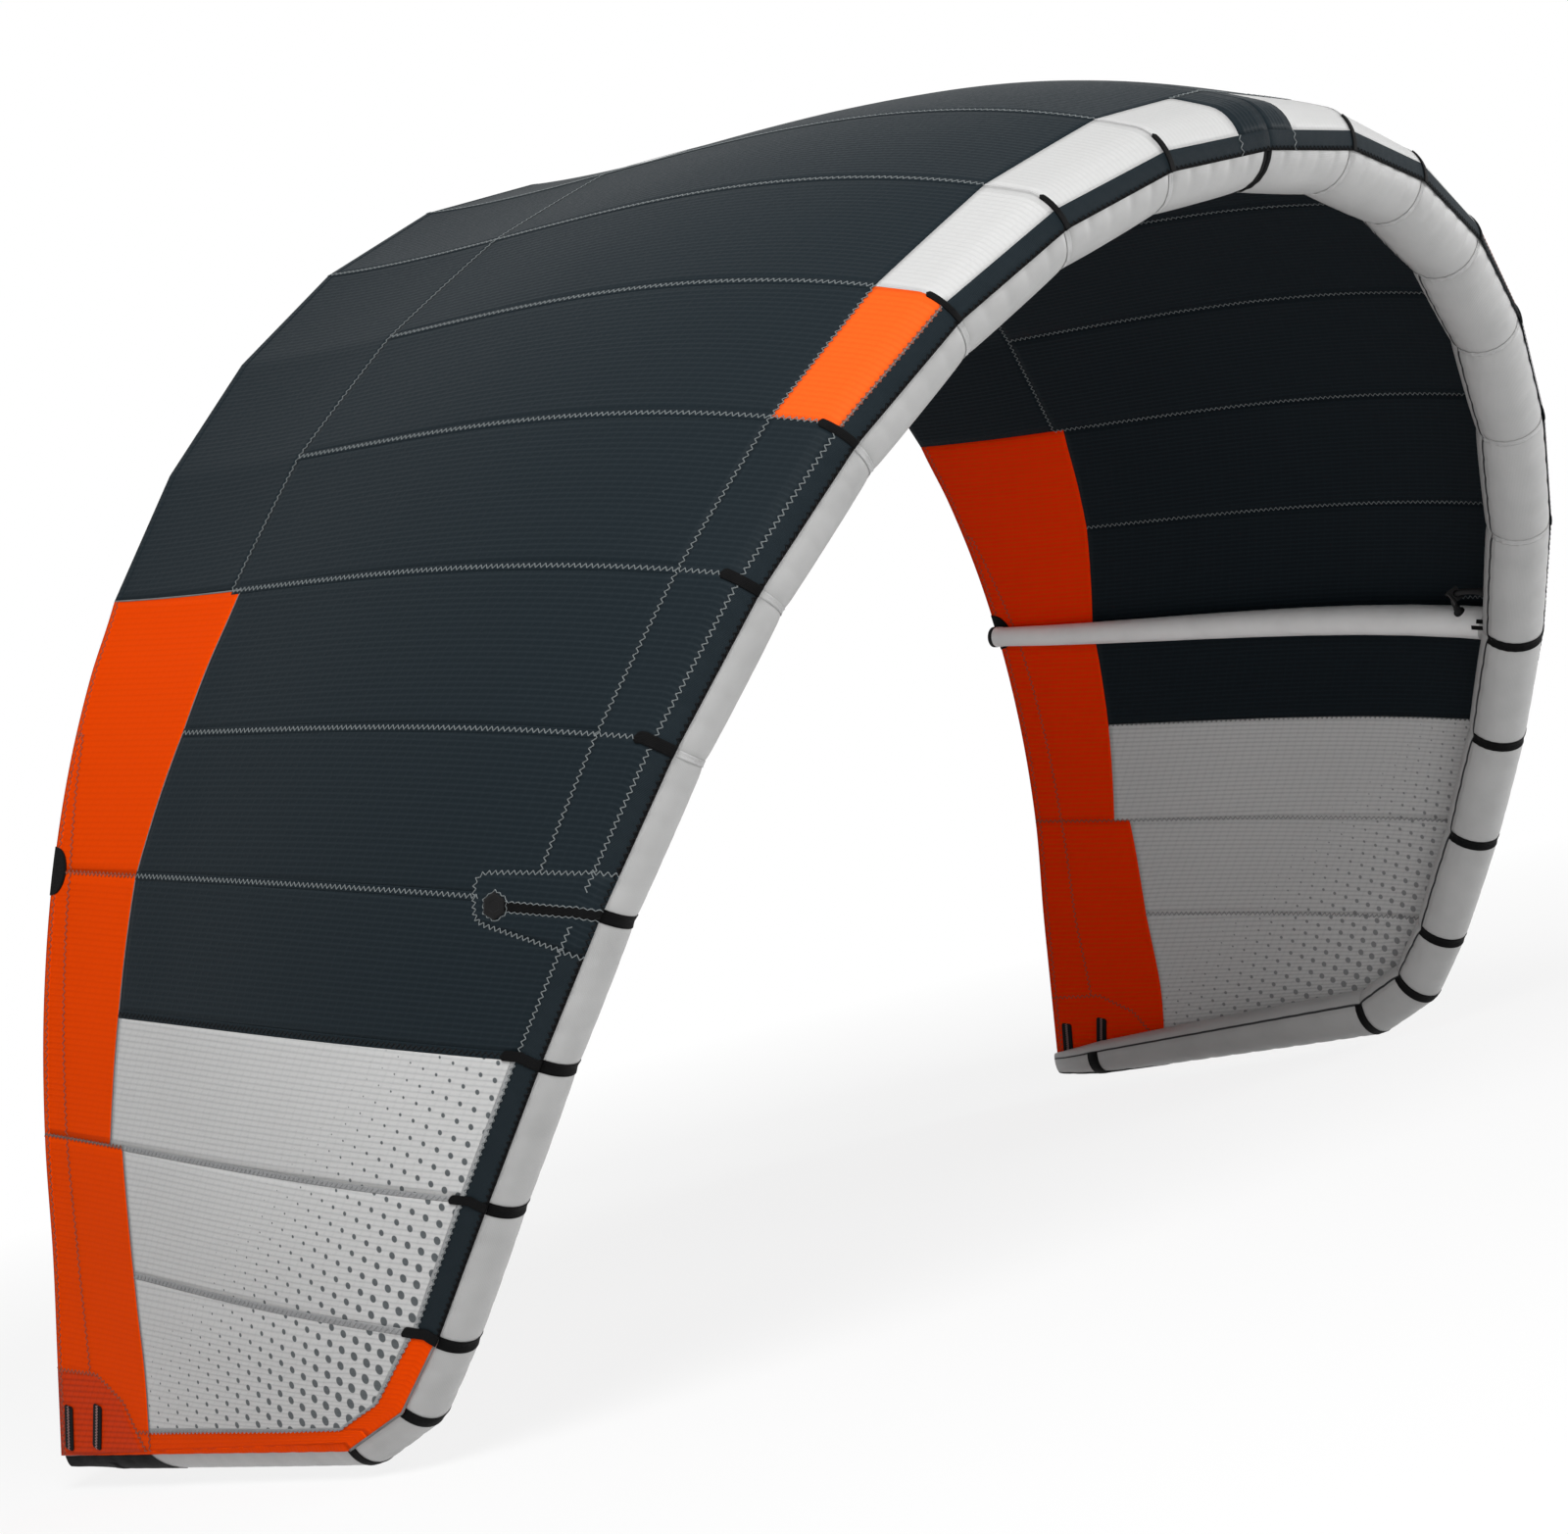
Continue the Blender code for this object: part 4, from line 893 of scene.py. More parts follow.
def along_seam(row, front, rear, width, rounded=False, steps=100):
    """Grid of a strip that is folded over a seam, from a front share to a rear one."""
    shares = np.linspace(front, rear, steps + 1)
    spread = width / 2 / bay_width(row, shares)
    if rounded:
        left_over = (rear - shares) * by_row(LINE_LENGTHS, row) / (width / 2)
        spread = spread * np.sqrt(np.clip(1 - np.clip(1 - left_over, 0, 1) ** 2, 0.0, 1))
    rows = row + np.linspace(-1, 1, FOLD_ROWS)[:, None] * spread
    return rows, shares + 0 * rows


def along_edge(first, last, line, width, shift=0.0):
    """Grid of a strip along an edge of the panels, shifted back by some metres."""
    rows = np.linspace(first, last, max(int((last - first) * 2 * ROW_STEPS), 4) + 1)[:, None]
    across = (shift + np.linspace(-0.5, 0.5, HEM_COLUMNS) * width)[None, :]
    return rows + 0 * across, np.clip(line(rows) + across / by_row(LINE_LENGTHS, rows), 0, 1)


THROUGH_SEAMS = (1, DARK_SEAM, STRUT_SEAM, SPLIT_SEAM)     # these run on to the trailing edge
SEAM_RUNS = []                          # seam number, and the shares where its run starts and ends
for row in range(1, SEAMS + 1):
    front = band_edge(row) if row < BAND_END else strip_edge(row)
    rear = dark_edge(row) if row <= EDGE_SEAM else orange_edge(row) if row < SPLIT_SEAM else tip_edge(row)
    SEAM_RUNS.append((row, float(front), 1.0 if row in THROUGH_SEAMS else float(rear)))

for side in SIDES:
    for row, front, rear in SEAM_RUNS:
        pale = row >= SPLIT_SEAM
        end = float(tip_edge(row) if row == SPLIT_SEAM else orange_edge(row) if row == STRUT_SEAM else rear)
        rows, shares = along_seam(row, front, end, PALE_FOLD if pale else FOLD_WIDTH)
        finish = fold_tape if pale else CLOTHS["dark_cloth"]
        slot = "pale_cloth" if pale else "dark_cloth"
        laid(f"seam_fold_{side}_{row:02d}", side, rows, shares, finish, FOLD_LIFT)
    for label, first, last, slot in (("dark", 0, EDGE_SEAM, "dark_cloth"),
                                     ("orange", EDGE_SEAM, LAST_ROW, "orange_cloth")):
        rows, shares = along_edge(first, last, trailing, HEM_WIDTH, -HEM_WIDTH / 2)
        laid(f"rear_hem_{side}_{label}", side, rows, shares, CLOTHS[slot], FOLD_LIFT)
    joins = (("patch", *BAND_PATCH, strip_edge), ("rear", EDGE_SEAM, SPLIT_SEAM, orange_edge),
             ("tip", SPLIT_SEAM, BORDER_LOW[1], tip_edge), ("border", SEAMS, BORDER_LOW[0], border_edge))
    for label, first, last, line in joins:
        rows, shares = along_edge(first, last, line, JOIN_WIDTH)
        laid(f"join_{side}_{label}", side, rows, shares, join_tape, FOLD_LIFT)
    crossing = [(f"band_{row}", row, strip_edge(row), band_edge(row), pale_tape)
                for row in range(1, BAND_PATCH[0] + 1)]
    crossing += [("corner", EDGE_SEAM, orange_edge(EDGE_SEAM), 1.0, join_tape),
                 ("split", SPLIT_SEAM, tip_edge(SPLIT_SEAM), 1.0, join_tape)]
    for label, row, front, rear, finish in crossing:
        rows, shares = along_seam(row, float(front), float(rear), JOIN_WIDTH)
        laid(f"join_{side}_{label}", side, rows, shares, finish, 1.5 * FOLD_LIFT)
    for label, first, last, finish in (("span", 0, SEAMS, black_tape), ("tip", SEAMS, LAST_ROW, join_tape)):
        rows, shares = along_edge(first, last, nose, NOSE_EDGE, NOSE_EDGE / 2)
        laid(f"nose_edge_{side}_{label}", side, rows, shares, finish, FOLD_LIFT)
    for label, first, last, line in (("nose", TIP_SEAM, SEAMS, strip_edge),
                                     ("border", SEAMS, BORDER_LOW[0], border_edge)):
        rows, shares = along_edge(first, last, line, PALE_HEM, PALE_HEM / 2)
        laid(f"pale_hem_{side}_{label}", side, rows, shares, fold_tape, FOLD_LIFT)
    shares = np.linspace(float(border_edge(BORDER_LOW[0])), float(tip_edge(BORDER_LOW[1])), HEM_POINTS)
    low = np.interp(shares, (shares[0], shares[-1]), BORDER_LOW)
    rows = low - np.linspace(1, 0, HEM_COLUMNS)[:, None] * PALE_HEM / bay_width(low - 0.1, shares)
    laid(f"pale_hem_{side}_low", side, rows, shares + 0 * rows, fold_tape, FOLD_LIFT)


# Reinforcements: short black tapes over the ends of the seams at the leading edge, a stitched tongue with a
# strap and a hexagonal pad where each side strut pulls, a half disc at the strut's rear end, and a doubled
# patch at the wing tip. All are stuck to the outside of the cloth and sewn round.
TAPE_WIDTH = ((3, 0.010), (6, 0.018), (8, 0.016), (10, 0.013))     # by seam number
TAPE_REACH = 0.066
TAPE_LIFT = 0.0006
TONGUE_NOSE = (-0.059, 0.066)           # inboard and tip-side edges at the leading edge, from the strap
TONGUE_REAR = (-0.0475, 0.0335)         # and at the pad
TONGUE_LEAN = 0.0123                    # the strap runs straight on where the seam turns off the tube
LEAN_REACH = 0.045
TONGUE_REACH = 0.217
TONGUE_SLANT = 0.447                    # its rear end is cut aslant, and its corners are rounded
TONGUE_CORNER = 4.0
TONGUE_STRAP = 0.0155
TONGUE_POINTS = 41                      # along the tongue and its strap, and across each
TONGUE_ROWS = 9
TONGUE_STRAP_ROWS = 5
PAD_PLACE = 0.178
PAD_LONG = (0.0205, -0.0088)            # from the pad's middle to a point and to a flat side: out and back
PAD_WIDE = (-0.0012, -0.0185)
PAD_CORNERS = ((1, 0), (0.5, 1), (-0.5, 1), (-1, 0), (-0.5, -1), (0.5, -1), (1, 0))
PAD_HEIGHT = 0.0018
PAD_UV = (0.01, 0.01)
PAD_PROFILE = ((1.0, 0.0), (1.0, 1.0), (0.84, 1.4), (0.5, 1.4), (0.46, 1.2), (0.001, 1.2))  # size, height
DISC_WIDTH = 0.078
DISC_DEPTH = 0.036
DISC_ROWS = 25
DISC_COLUMNS = 6
COVER_LIFT = 0.0022                     # of what lies over the stitches
PATCH_TOP = 11.13                       # seam number
TIP_PATCH = ((PATCH_TOP, 0.12), (11.40, 0.20), (12, 0.265))     # seam number, metres from the rear edge
PATCH_END = 0.236                       # where the seam along the border meets the patch
PATCH_ROWS = 19
PATCH_COLUMNS = 14
PATCH_ORANGE = (0.62, 0.040, 0.0006)
PATCH_RIB = (0.40, 0.025, 0.0005)
PAD_BLACK = (0.0035, 0.0035, 0.0038)
PAD_SCUFF = (0.009, 0.009, 0.0095)


def moulded(name, colour, scuff, roughness):
    """Moulded plastic or rubber: fine grain, and paler scuffs where it is handled."""
    finish, tree, shader = new_finish(name, roughness)
    mottle = placed(tree, MOTTLE, Size=0.012, Fine_Size=0.0009)
    scuffs = maths("POWER", mottle["Tone"], 2.5)
    tree.links.new(blended(scuffs, colour, scuff), shader.inputs["Base Color"])
    tree.links.new(times_plus(mottle["Grain"], 0.25, roughness - 0.12), shader.inputs["Roughness"])
    bumped(shader, mottle["Grain"], 0.0002)
    shader.inputs["Specular IOR Level"].default_value = 0.13
    return finish


pad_plastic = moulded("pad_plastic", PAD_BLACK, PAD_SCUFF, 0.45)
patch_cloth = ripstop("patch_ripstop", PATCH_ORANGE, PATCH_RIB, 0.05)
strut_length = float(LINE_LENGTHS[STRUT_SEAM])


def spot_on(row, share, side_step, back_step):
    """Seam number and share of a place some metres to the side of another and behind it."""
    return (row + side_step / bay_width(row, share), share + back_step / by_row(LINE_LENGTHS, row))


def lean(reach):
    """Metres by which the strap lies off the seam towards the tip, some way behind the leading edge."""
    return TONGUE_LEAN * np.clip(reach / LEAN_REACH, 0, 1)


def tongue_edges(reach):
    """Metres from the strap to the tongue's two edges, drawn together round its rear end."""
    part = reach / PAD_PLACE
    over = np.clip((reach - PAD_PLACE) / (TONGUE_REACH - PAD_PLACE), 0, 1)
    narrowed = (1 - over ** TONGUE_CORNER) ** (1 / TONGUE_CORNER)
    return np.stack([(nose_end + (rear_end - nose_end) * part) * narrowed
                     for nose_end, rear_end in zip(TONGUE_NOSE, TONGUE_REAR)])


def pad_corners(size):
    """Seam numbers and shares of the pad's six corners, the first one again at the end."""
    rows, shares = [], []
    for long, wide in PAD_CORNERS:
        out, back = (size * (long * a + wide * b) for a, b in zip(PAD_LONG, PAD_WIDE))
        row, share = spot_on(STRUT_SEAM, PAD_PLACE / strut_length, TONGUE_LEAN + out, back)
        rows.append(float(row))
        shares.append(float(share))
    return rows, shares


tongue_reach = TONGUE_REACH * np.sin(np.linspace(0, np.pi / 2, TONGUE_POINTS))
tongue_steps = tongue_edges(tongue_reach)
tongue_widths = bay_width(STRUT_SEAM, tongue_reach / strut_length)
tongue_rows = STRUT_SEAM + (tongue_steps + lean(tongue_reach)) / tongue_widths
tongue_shares = (tongue_reach - TONGUE_SLANT * tongue_steps * tongue_reach / TONGUE_REACH) / strut_length
strap_reach = np.linspace(0, PAD_PLACE, TONGUE_POINTS)
strap_steps = lean(strap_reach) + TONGUE_STRAP / 2 * np.linspace(-1, 1, TONGUE_STRAP_ROWS)[:, None]
strap_shares = strap_reach / strut_length
strap_rows = STRUT_SEAM + strap_steps / bay_width(STRUT_SEAM, strap_shares)
for side in SIDES:
    for row in [n for n in range(1, SEAMS + 1) if n != STRUT_SEAM]:
        width = np.interp(row, *zip(*TAPE_WIDTH))
        rows, shares = along_seam(row, 0.0, TAPE_REACH / LINE_LENGTHS[row], width, rounded=True, steps=24)
        laid(f"seam_tape_{side}_{row:02d}", side, rows, shares, black_tape, COVER_LIFT)
    part = np.linspace(0, 1, TONGUE_ROWS)[:, None]
    rows = tongue_rows[0] * (1 - part) + tongue_rows[1] * part
    shares = tongue_shares[0] * (1 - part) + tongue_shares[1] * part
    laid(f"strut_tongue_{side}", side, rows, shares, CLOTHS["dark_cloth"], TAPE_LIFT)
    shares = strap_shares + 0 * strap_rows
    laid(f"strut_strap_{side}", side, strap_rows, shares, black_tape, 2 * TAPE_LIFT)
    grid = [cloth(*pad_corners(size), 2 * TAPE_LIFT + height * PAD_HEIGHT)[0] for size, height in PAD_PROFILE]
    pad = piece(f"strut_pad_{side}", grid, PAD_UV, pad_plastic, side, closed=True)
    pad.data.shade_flat()
    across = np.linspace(-1, 1, DISC_ROWS)[:, None]
    rows = STRUT_SEAM + across * DISC_WIDTH / 2 / bay_width(STRUT_SEAM, 0.99)
    depth = np.sqrt(1 - across ** 2) * DISC_DEPTH / strut_length
    shares = 1 - depth * np.linspace(1, 0, DISC_COLUMNS)[None, :]
    for face in ("outer", "inner"):
        laid(f"strut_disc_{side}_{face}", side, rows + 0 * shares, shares, black_tape, COVER_LIFT,
             inside=face == "inner")
    rows = np.linspace(PATCH_TOP, LAST_ROW, PATCH_ROWS)[:, None]
    reach = np.interp(rows, *zip(*TIP_PATCH)) / by_row(LINE_LENGTHS, rows)
    shares = 1 - reach * np.linspace(1, 0, PATCH_COLUMNS)[None, :]
    laid(f"tip_patch_{side}", side, rows + 0 * shares, shares, patch_cloth, TAPE_LIFT)


# Stitching: polyester thread in a zigzag along every seam, fold and patch, on both faces of the cloth. Grey
# on the dark and white cloth, rust on the orange, and black along the front edge and where the tips' white
# cloth begins. Two rows of the grey run behind the leading edge.
STITCH_STEP = 0.0055
STITCH_SWING = 0.0068
THREAD = 0.0017
THREAD_HEIGHT = 0.45                    # of its width
STITCH_LIFT = 0.0009
SEAM_POINTS = 201                       # of the lines that rows of stitches follow, along seams and edges
EDGE_POINTS = 241
STRAP_SWING = 0.4                       # of the narrow zigzag along straps and pads, beside the full one
TONGUE_GAP = (6.91, 7.13)               # seam numbers between which the row on the strip stops for the tongue
BAND_STITCH_END = 6.83                  # where the row on the band meets the tongue's
TONGUE_HEM = 0.003                      # by which a seam's own row runs on under the tongue's
PAD_STITCH = 1.12                       # size of the row round the pad, beside the pad's
HEM_STITCH = 0.011                      # from the trailing edge
EDGE_START = 6                          # seam number where the row inside the trailing edge turns in from it
EDGE_GAP = 0.003
EDGE_STITCH = ((EDGE_START, 0.020), (6.4, 0.031), (7, 0.048), (8.2, 0.059), (9, 0.065), (10.1, 0.080),
               (PATCH_TOP, 0.100))      # seam number, and metres from the trailing edge
THREAD_GREY = (0.195, 0.215, 0.22)
THREAD_PALE = (0.30, 0.305, 0.31)
THREAD_RUST = (0.27, 0.095, 0.06)
THREAD_BLACK = (0.004, 0.004, 0.0045)


def thread(name, colour):
    """Twisted polyester thread, dull, each stitch of its own tone."""
    finish, tree, shader = new_finish(name, 0.5)
    mottle = placed(tree, MOTTLE, Size=0.02, Fine_Size=0.0015)
    twist = times(mottle["Grain"], 0.6)
    shade = tuple(0.5 * part for part in colour)
    tree.links.new(blended(twist, colour, shade), shader.inputs["Base Color"])
    bumped(shader, mottle["Grain"], 0.0003)
    shader.inputs["Specular IOR Level"].default_value = 0.08
    return finish


def stitches(rows, shares, swing=STITCH_SWING, inside=False):
    """Ridges of thread, six corners each, zigzagging about a line on the cloth."""
    rows, shares = np.asarray(rows, dtype=float), np.asarray(shares, dtype=float)
    width, length = bay_width(rows, shares), by_row(LINE_LENGTHS, rows)
    side_step, back_step = np.gradient(rows) * width, np.gradient(shares) * length
    size = np.hypot(side_step, back_step)
    steps = np.hypot(np.diff(rows) * width[1:], np.diff(shares) * length[1:])
    run = np.concatenate(([0.0], np.cumsum(steps)))
    places = np.linspace(0, run[-1], max(int(run[-1] / STITCH_STEP), 2) + 1)
    row, share, width, length, side_step, back_step = (
        np.interp(places, run, values)
        for values in (rows, shares, width, length, side_step / size, back_step / size))
    swings = np.where(np.arange(len(places)) % 2, 0.5, -0.5) * swing
    face = -1.0 if inside else 1.0
    lift = -CLOTH_THICK if inside else STITCH_LIFT
    points, out = cloth(row - back_step * swings / width, share + side_step * swings / length, lift)
    start, end, out = points[:-1], points[1:], face * (out[:-1] + out[1:]) / 2
    beside = np.cross(end - start, out)
    beside *= THREAD / 2 / np.linalg.norm(beside, axis=1, keepdims=True)
    top = out * THREAD_HEIGHT * THREAD
    return np.stack([place + step for place in (start, end) for step in (-beside, top, beside)], axis=1)


def sewn(name, side, runs, finish):
    """One piece for all the stitches of a thread on one side."""
    points = np.concatenate(runs).reshape(-1, 3)
    faces = []
    for a in range(0, len(points), 6):
        faces += [(a, a + 1, a + 4, a + 3), (a + 1, a + 2, a + 5, a + 4), (a + 2, a, a + 3, a + 5)]
    added(name, points, faces, finish, side)


def seam_line(row, front, rear):
    return np.full(SEAM_POINTS, float(row)), np.linspace(float(front), float(rear), SEAM_POINTS)


def edge_line(first, last, line, shift=0.0):
    rows = np.linspace(first, last, EDGE_POINTS)
    return rows, line(rows) + shift / by_row(LINE_LENGTHS, rows)


def outline(corners, steps=30):
    """Line on the cloth through corners given as a seam number and a share."""
    rows, shares = zip(*corners)
    places = np.linspace(0, len(corners) - 1, steps * (len(corners) - 1) + 1)
    return np.interp(places, range(len(corners)), rows), np.interp(places, range(len(corners)), shares)


def from_rear(row, distance):
    return row, 1 - distance / float(by_row(LINE_LENGTHS, row))


tongue_line = [np.concatenate([edges[0], edges[1][-2::-1]]) for edges in (tongue_rows, tongue_shares)]
edge_stitch = edge([from_rear(*corner) for corner in EDGE_STITCH])
grey_lines = []
for row, front, rear in SEAM_RUNS[:TIP_SEAM - 1]:
    reach = TONGUE_REACH - TONGUE_HEM if row == STRUT_SEAM else TAPE_REACH
    grey_lines.append(seam_line(row, reach / LINE_LENGTHS[row] if row > BAND_PATCH[0] else front, rear))
grey_lines += [edge_line(BAND_PATCH[1], TONGUE_GAP[0], strip_edge),
               edge_line(TONGUE_GAP[1], SEAMS, strip_edge),
               edge_line(BAND_PATCH[1], BAND_STITCH_END, band_edge), edge_line(0, EDGE_SEAM, dark_edge),
               edge_line(0, BAND_START, band_edge), edge_line(*BAND_PATCH, band_edge), tongue_line,
               seam_line(BAND_START, 0.0, strip_edge(BAND_START))]
strap_lines = [(strap_rows[0], strap_shares), (strap_rows[-1], strap_shares)]
strap_lines.append(outline(list(zip(*pad_corners(PAD_STITCH))), 6))
black_lines = [edge_line(0, SEAMS, metres((0, NOSE_EDGE))),
               seam_line(TIP_SEAM, TAPE_REACH / LINE_LENGTHS[TIP_SEAM], orange_edge(TIP_SEAM))]
pale_lines = [seam_line(row, TAPE_REACH / LINE_LENGTHS[row], tip_edge(row)) for row in (SPLIT_SEAM, SEAMS)]
pale_lines += [edge_line(SEAMS, BORDER_LOW[0], border_edge),
               outline([(BORDER_LOW[0], float(border_edge(BORDER_LOW[0]))),
                        (BORDER_LOW[1], float(tip_edge(BORDER_LOW[1])))], 120)]
rust_lines = [edge_line(EDGE_START, PATCH_TOP, edge_stitch),
              outline([from_rear(EDGE_START, EDGE_GAP), from_rear(*EDGE_STITCH[0])]),
              seam_line(SPLIT_SEAM, tip_edge(SPLIT_SEAM), 1.0), edge_line(*BAND_PATCH, strip_edge),
              edge_line(BORDER_LOW[1], LAST_ROW, tip_edge),
              seam_line(BORDER_LOW[1], tip_edge(BORDER_LOW[1]), from_rear(BORDER_LOW[1], PATCH_END)[1]),
              outline([from_rear(PATCH_TOP, 0.0)] + [from_rear(*corner) for corner in TIP_PATCH]),
              edge_line(EDGE_SEAM, LAST_ROW, trailing, -HEM_STITCH),
              seam_line(STRUT_SEAM, orange_edge(STRUT_SEAM), 1.0)]
threads = (("grey", grey_lines, thread("thread_grey", THREAD_GREY)),
           ("pale", pale_lines, thread("thread_pale", THREAD_PALE)),
           ("rust", rust_lines, thread("thread_rust", THREAD_RUST)),
           ("black", black_lines, thread("thread_black", THREAD_BLACK)))
for side in SIDES:
    for label, lines, finish in threads:
        runs = [stitches(*line, inside=inside) for line in lines for inside in (False, True)]
        if label == "grey":
            runs += [stitches(*line, swing=STRAP_SWING * STITCH_SWING) for line in strap_lines]
        sewn(f"stitching_{side}_{label}", side, runs, finish)


# Struts: three tapering tubes of white sailcloth, at mid span and on each side, cut to a saddle against the
# leading edge and sewn to the canopy along its seam. Each holds a film bladder. A collar and two bar tacks
# fix its front end, and a black cap with a rim closes its rear end.
STRUT_SEAMS = {"centre": 0, "left": STRUT_SEAM, "right": STRUT_SEAM}
STRUT_FRONT = 0.032
STRUT_REAR = 0.0195
STRUT_START = 0.020                     # behind the line where the canopy leaves the tube
STRUT_CAP = 0.014
CAP_TO_EDGE = 0.004
STRUT_BELOW = 0.0027                    # cloth and clearance above the casing
STRUT_RUNS = 10
STRUT_SIDES = 40
STRUT_STOPS = 49
STRUT_FULL = 0.0009
SADDLE_GAP = 0.0012
STRUT_UV = 0.02                         # cloth from ring to ring
COLLAR_REACH = (0.001, 0.008, 0.016)    # rings behind the saddle
COLLAR_LIFT = 0.0012
FILM_INSET = 0.003
FILM_GAP = 0.03                         # between the film and both ends of the casing
FILM_NECK = 0.02
FILM_STOPS = 20
FILM_FRONT = ((0.0, -0.85), (0.02, -0.3), (0.06, 0.0))      # share of its length, and of the neck
FILM_REAR = ((0.96, 0.0), (1.0, -0.9))
SLEEVE = ((-0.010, 0.0006), (-0.009, 0.0012), (0.35 * STRUT_CAP, 0.0010))   # metres past the end, and rise
CAP_RIM = ((0.25, 0.0006), (0.27, 0.0018), (0.85, 0.0018), (0.97, 0.0))     # share of the cap, and rise
CAP_LIP = ((1.0, 0.12), (0.96, 0.16))   # share of the cap, and of the radius inwards
CAP_RINGS = (0.15, 0.4, 0.7, 0.999)     # of its pale face, as shares of the radius inwards
TACK_WIDTH = 0.008
TACK_GAP = 0.004
TACK_LIFT = 0.0014
TACK_STEPS = (4, 12)                    # across and along
TACK_UV = (0.0015, 0.003)
TACKS = ((1.74, 0.029), (2.12, 0.021))  # turn from the tip side, and length behind the tube
CAP_FACE = (0.58, 0.58, 0.58)
# The struts' white is set much lighter than the tube's white of the same sailcloth, as painted light on the
# struts.
STRUT_WHITE_PAINTED_LIGHT = (0.90, 0.90, 0.895)
STRUT_SMUDGE = (0.66, 0.66, 0.66)


class StrutLine:
    """Axis of a strut under the canopy seam of its station, as a chain of short straight runs."""

    def __init__(self, number):
        self.line, self.station = CANOPY[number], STATIONS[number]
        self.first = self.line.wrap + STRUT_START
        self.last = self.line.length - STRUT_CAP - CAP_TO_EDGE
        self.run = (self.last - self.first) / STRUT_RUNS
        self.frames = [self.frame_under_seam(self.first + self.run * n) for n in range(STRUT_RUNS + 1)]

    def radius(self, distance):
        share = min((distance - self.first) / (self.last - self.first), 1.0)
        return STRUT_FRONT + (STRUT_REAR - STRUT_FRONT) * share

    def frame_under_seam(self, distance):
        """Axis point, direction, sideways direction towards the tip and outward direction."""
        forward = self.line.along(distance)
        side = (self.station.along - forward * self.station.along.dot(forward)).normalized()
        out = forward.cross(side)
        depth = self.radius(distance) * self.station.mitre + STRUT_BELOW
        return self.line.at(distance) - out * depth, forward, side, out

    def frame(self, distance):
        number = min(max(int((distance - self.first) / self.run), 0), STRUT_RUNS - 1)
        share = min((distance - self.first - number * self.run) / self.run, 1.0)
        pairs = zip(self.frames[number], self.frames[number + 1])
        point, forward, side, out = [before.lerp(after, share) for before, after in pairs]
        return point + forward * max(distance - self.last, 0.0), forward, side, out

    def at(self, distance, turn, lift=0.0):
        """Point of the strut's wall, at a turn from its tip side over the inside of the kite."""
        point, _, side, out = self.frame(distance)
        size = self.radius(distance) + lift
        return point + size * (math.cos(turn) * side - math.sin(turn) * out)

    def saddle(self, turn, lift=0.0, step=0.001):
        """Distance at which a line along the wall comes clear of the leading-edge tube."""
        distance = self.first
        while True:
            reach = self.at(distance, turn, lift) - self.station.axis
            reach -= self.station.along * reach.dot(self.station.along)
            if reach.length > self.station.radius + SADDLE_GAP:
                return distance
            distance += step


STRUTS = {name: StrutLine(number) for name, number in STRUT_SEAMS.items()}
# The struts' sailcloth, lightened as painted light.
strut_cloth = sailcloth("strut_sailcloth_painted_light", STRUT_WHITE_PAINTED_LIGHT, STRUT_SMUDGE)
cap_finish = moulded("cap_rubber", PAD_BLACK, PAD_SCUFF, 0.55)
face_finish = moulded("cap_face", CAP_FACE, TUBE_WHITE_PAINTED_SHADE, 0.5)
strut_turns = [math.tau * number / STRUT_SIDES for number in range(STRUT_SIDES + 1)]


def side_of(strut):
    """Half of the kite that a strut's pieces are drawn on."""
    return "right" if strut == "right" else "left"


def strut_piece(name, strut, grid, finish, nodes=()):
    """Closed tube on a strut."""
    uv = (math.tau / STRUT_SIDES * STRUT_FRONT, STRUT_UV)
    piece(f"{name}_{strut}", grid, uv, finish, side_of(strut), closed=True, nodes=nodes)


for name, line in STRUTS.items():
    starts = [line.saddle(turn) for turn in strut_turns]
    stops = [number / (STRUT_STOPS - 1) for number in range(STRUT_STOPS)]
    grid = [[line.at(start + (line.last - start) * stop, turn, STRUT_FULL * math.sin(math.pi * stop))
             for start, turn in zip(starts, strut_turns)] for stop in stops]
    strut_piece("strut_tube", name, grid, strut_cloth, [f"strut_casing_{name}"])
    grid = [[line.at(start + reach, turn, COLLAR_LIFT) for start, turn in zip(starts, strut_turns)]
            for reach in COLLAR_REACH]
    strut_piece("strut_collar", name, grid, pale_tape)
    front, rear = max(starts) + FILM_GAP, line.last - FILM_GAP
    shape = [*FILM_FRONT, *((n / FILM_STOPS, 0.0) for n in range(2, FILM_STOPS - 1)), *FILM_REAR]
    grid = [[line.at(front + (rear - front) * stop, turn, size * FILM_NECK - FILM_INSET)
             for turn in strut_turns] for stop, size in shape]
    strut_piece("strut_film", name, grid, film_finish, [f"strut_bladder_{name}"])
    size = line.radius(line.last)
    rim = [(share * STRUT_CAP, rise) for share, rise in CAP_RIM]
    rim += [(share * STRUT_CAP, -inwards * size) for share, inwards in CAP_LIP]
    for label, finish, shape in (("end", strut_cloth, SLEEVE), ("rim", cap_finish, rim)):
        grid = [[line.at(line.last + place, turn, rise) for turn in strut_turns] for place, rise in shape]
        strut_piece(f"strut_{label}", name, grid, finish, [f"strut_end_cap_{name}"])
    face_place = line.last + CAP_LIP[-1][0] * STRUT_CAP
    grid = [[line.at(face_place, turn, -share * size) for turn in strut_turns] for share in CAP_RINGS]
    strut_piece("strut_face", name, grid, face_finish)
    for number, (middle, length) in enumerate(TACKS):
        wide, long = TACK_STEPS
        turns = [middle + TACK_WIDTH / STRUT_FRONT * (n / wide - 0.5) for n in range(wide + 1)]
        base = line.saddle(middle) + TACK_GAP
        places = [base + length * n / long for n in range(long + 1)]
        grid = [[line.at(place, turn, TACK_LIFT) for turn in turns] for place in places]
        piece(f"strut_tack_{name}_{number}", grid, TACK_UV, black_tape, side_of(name))


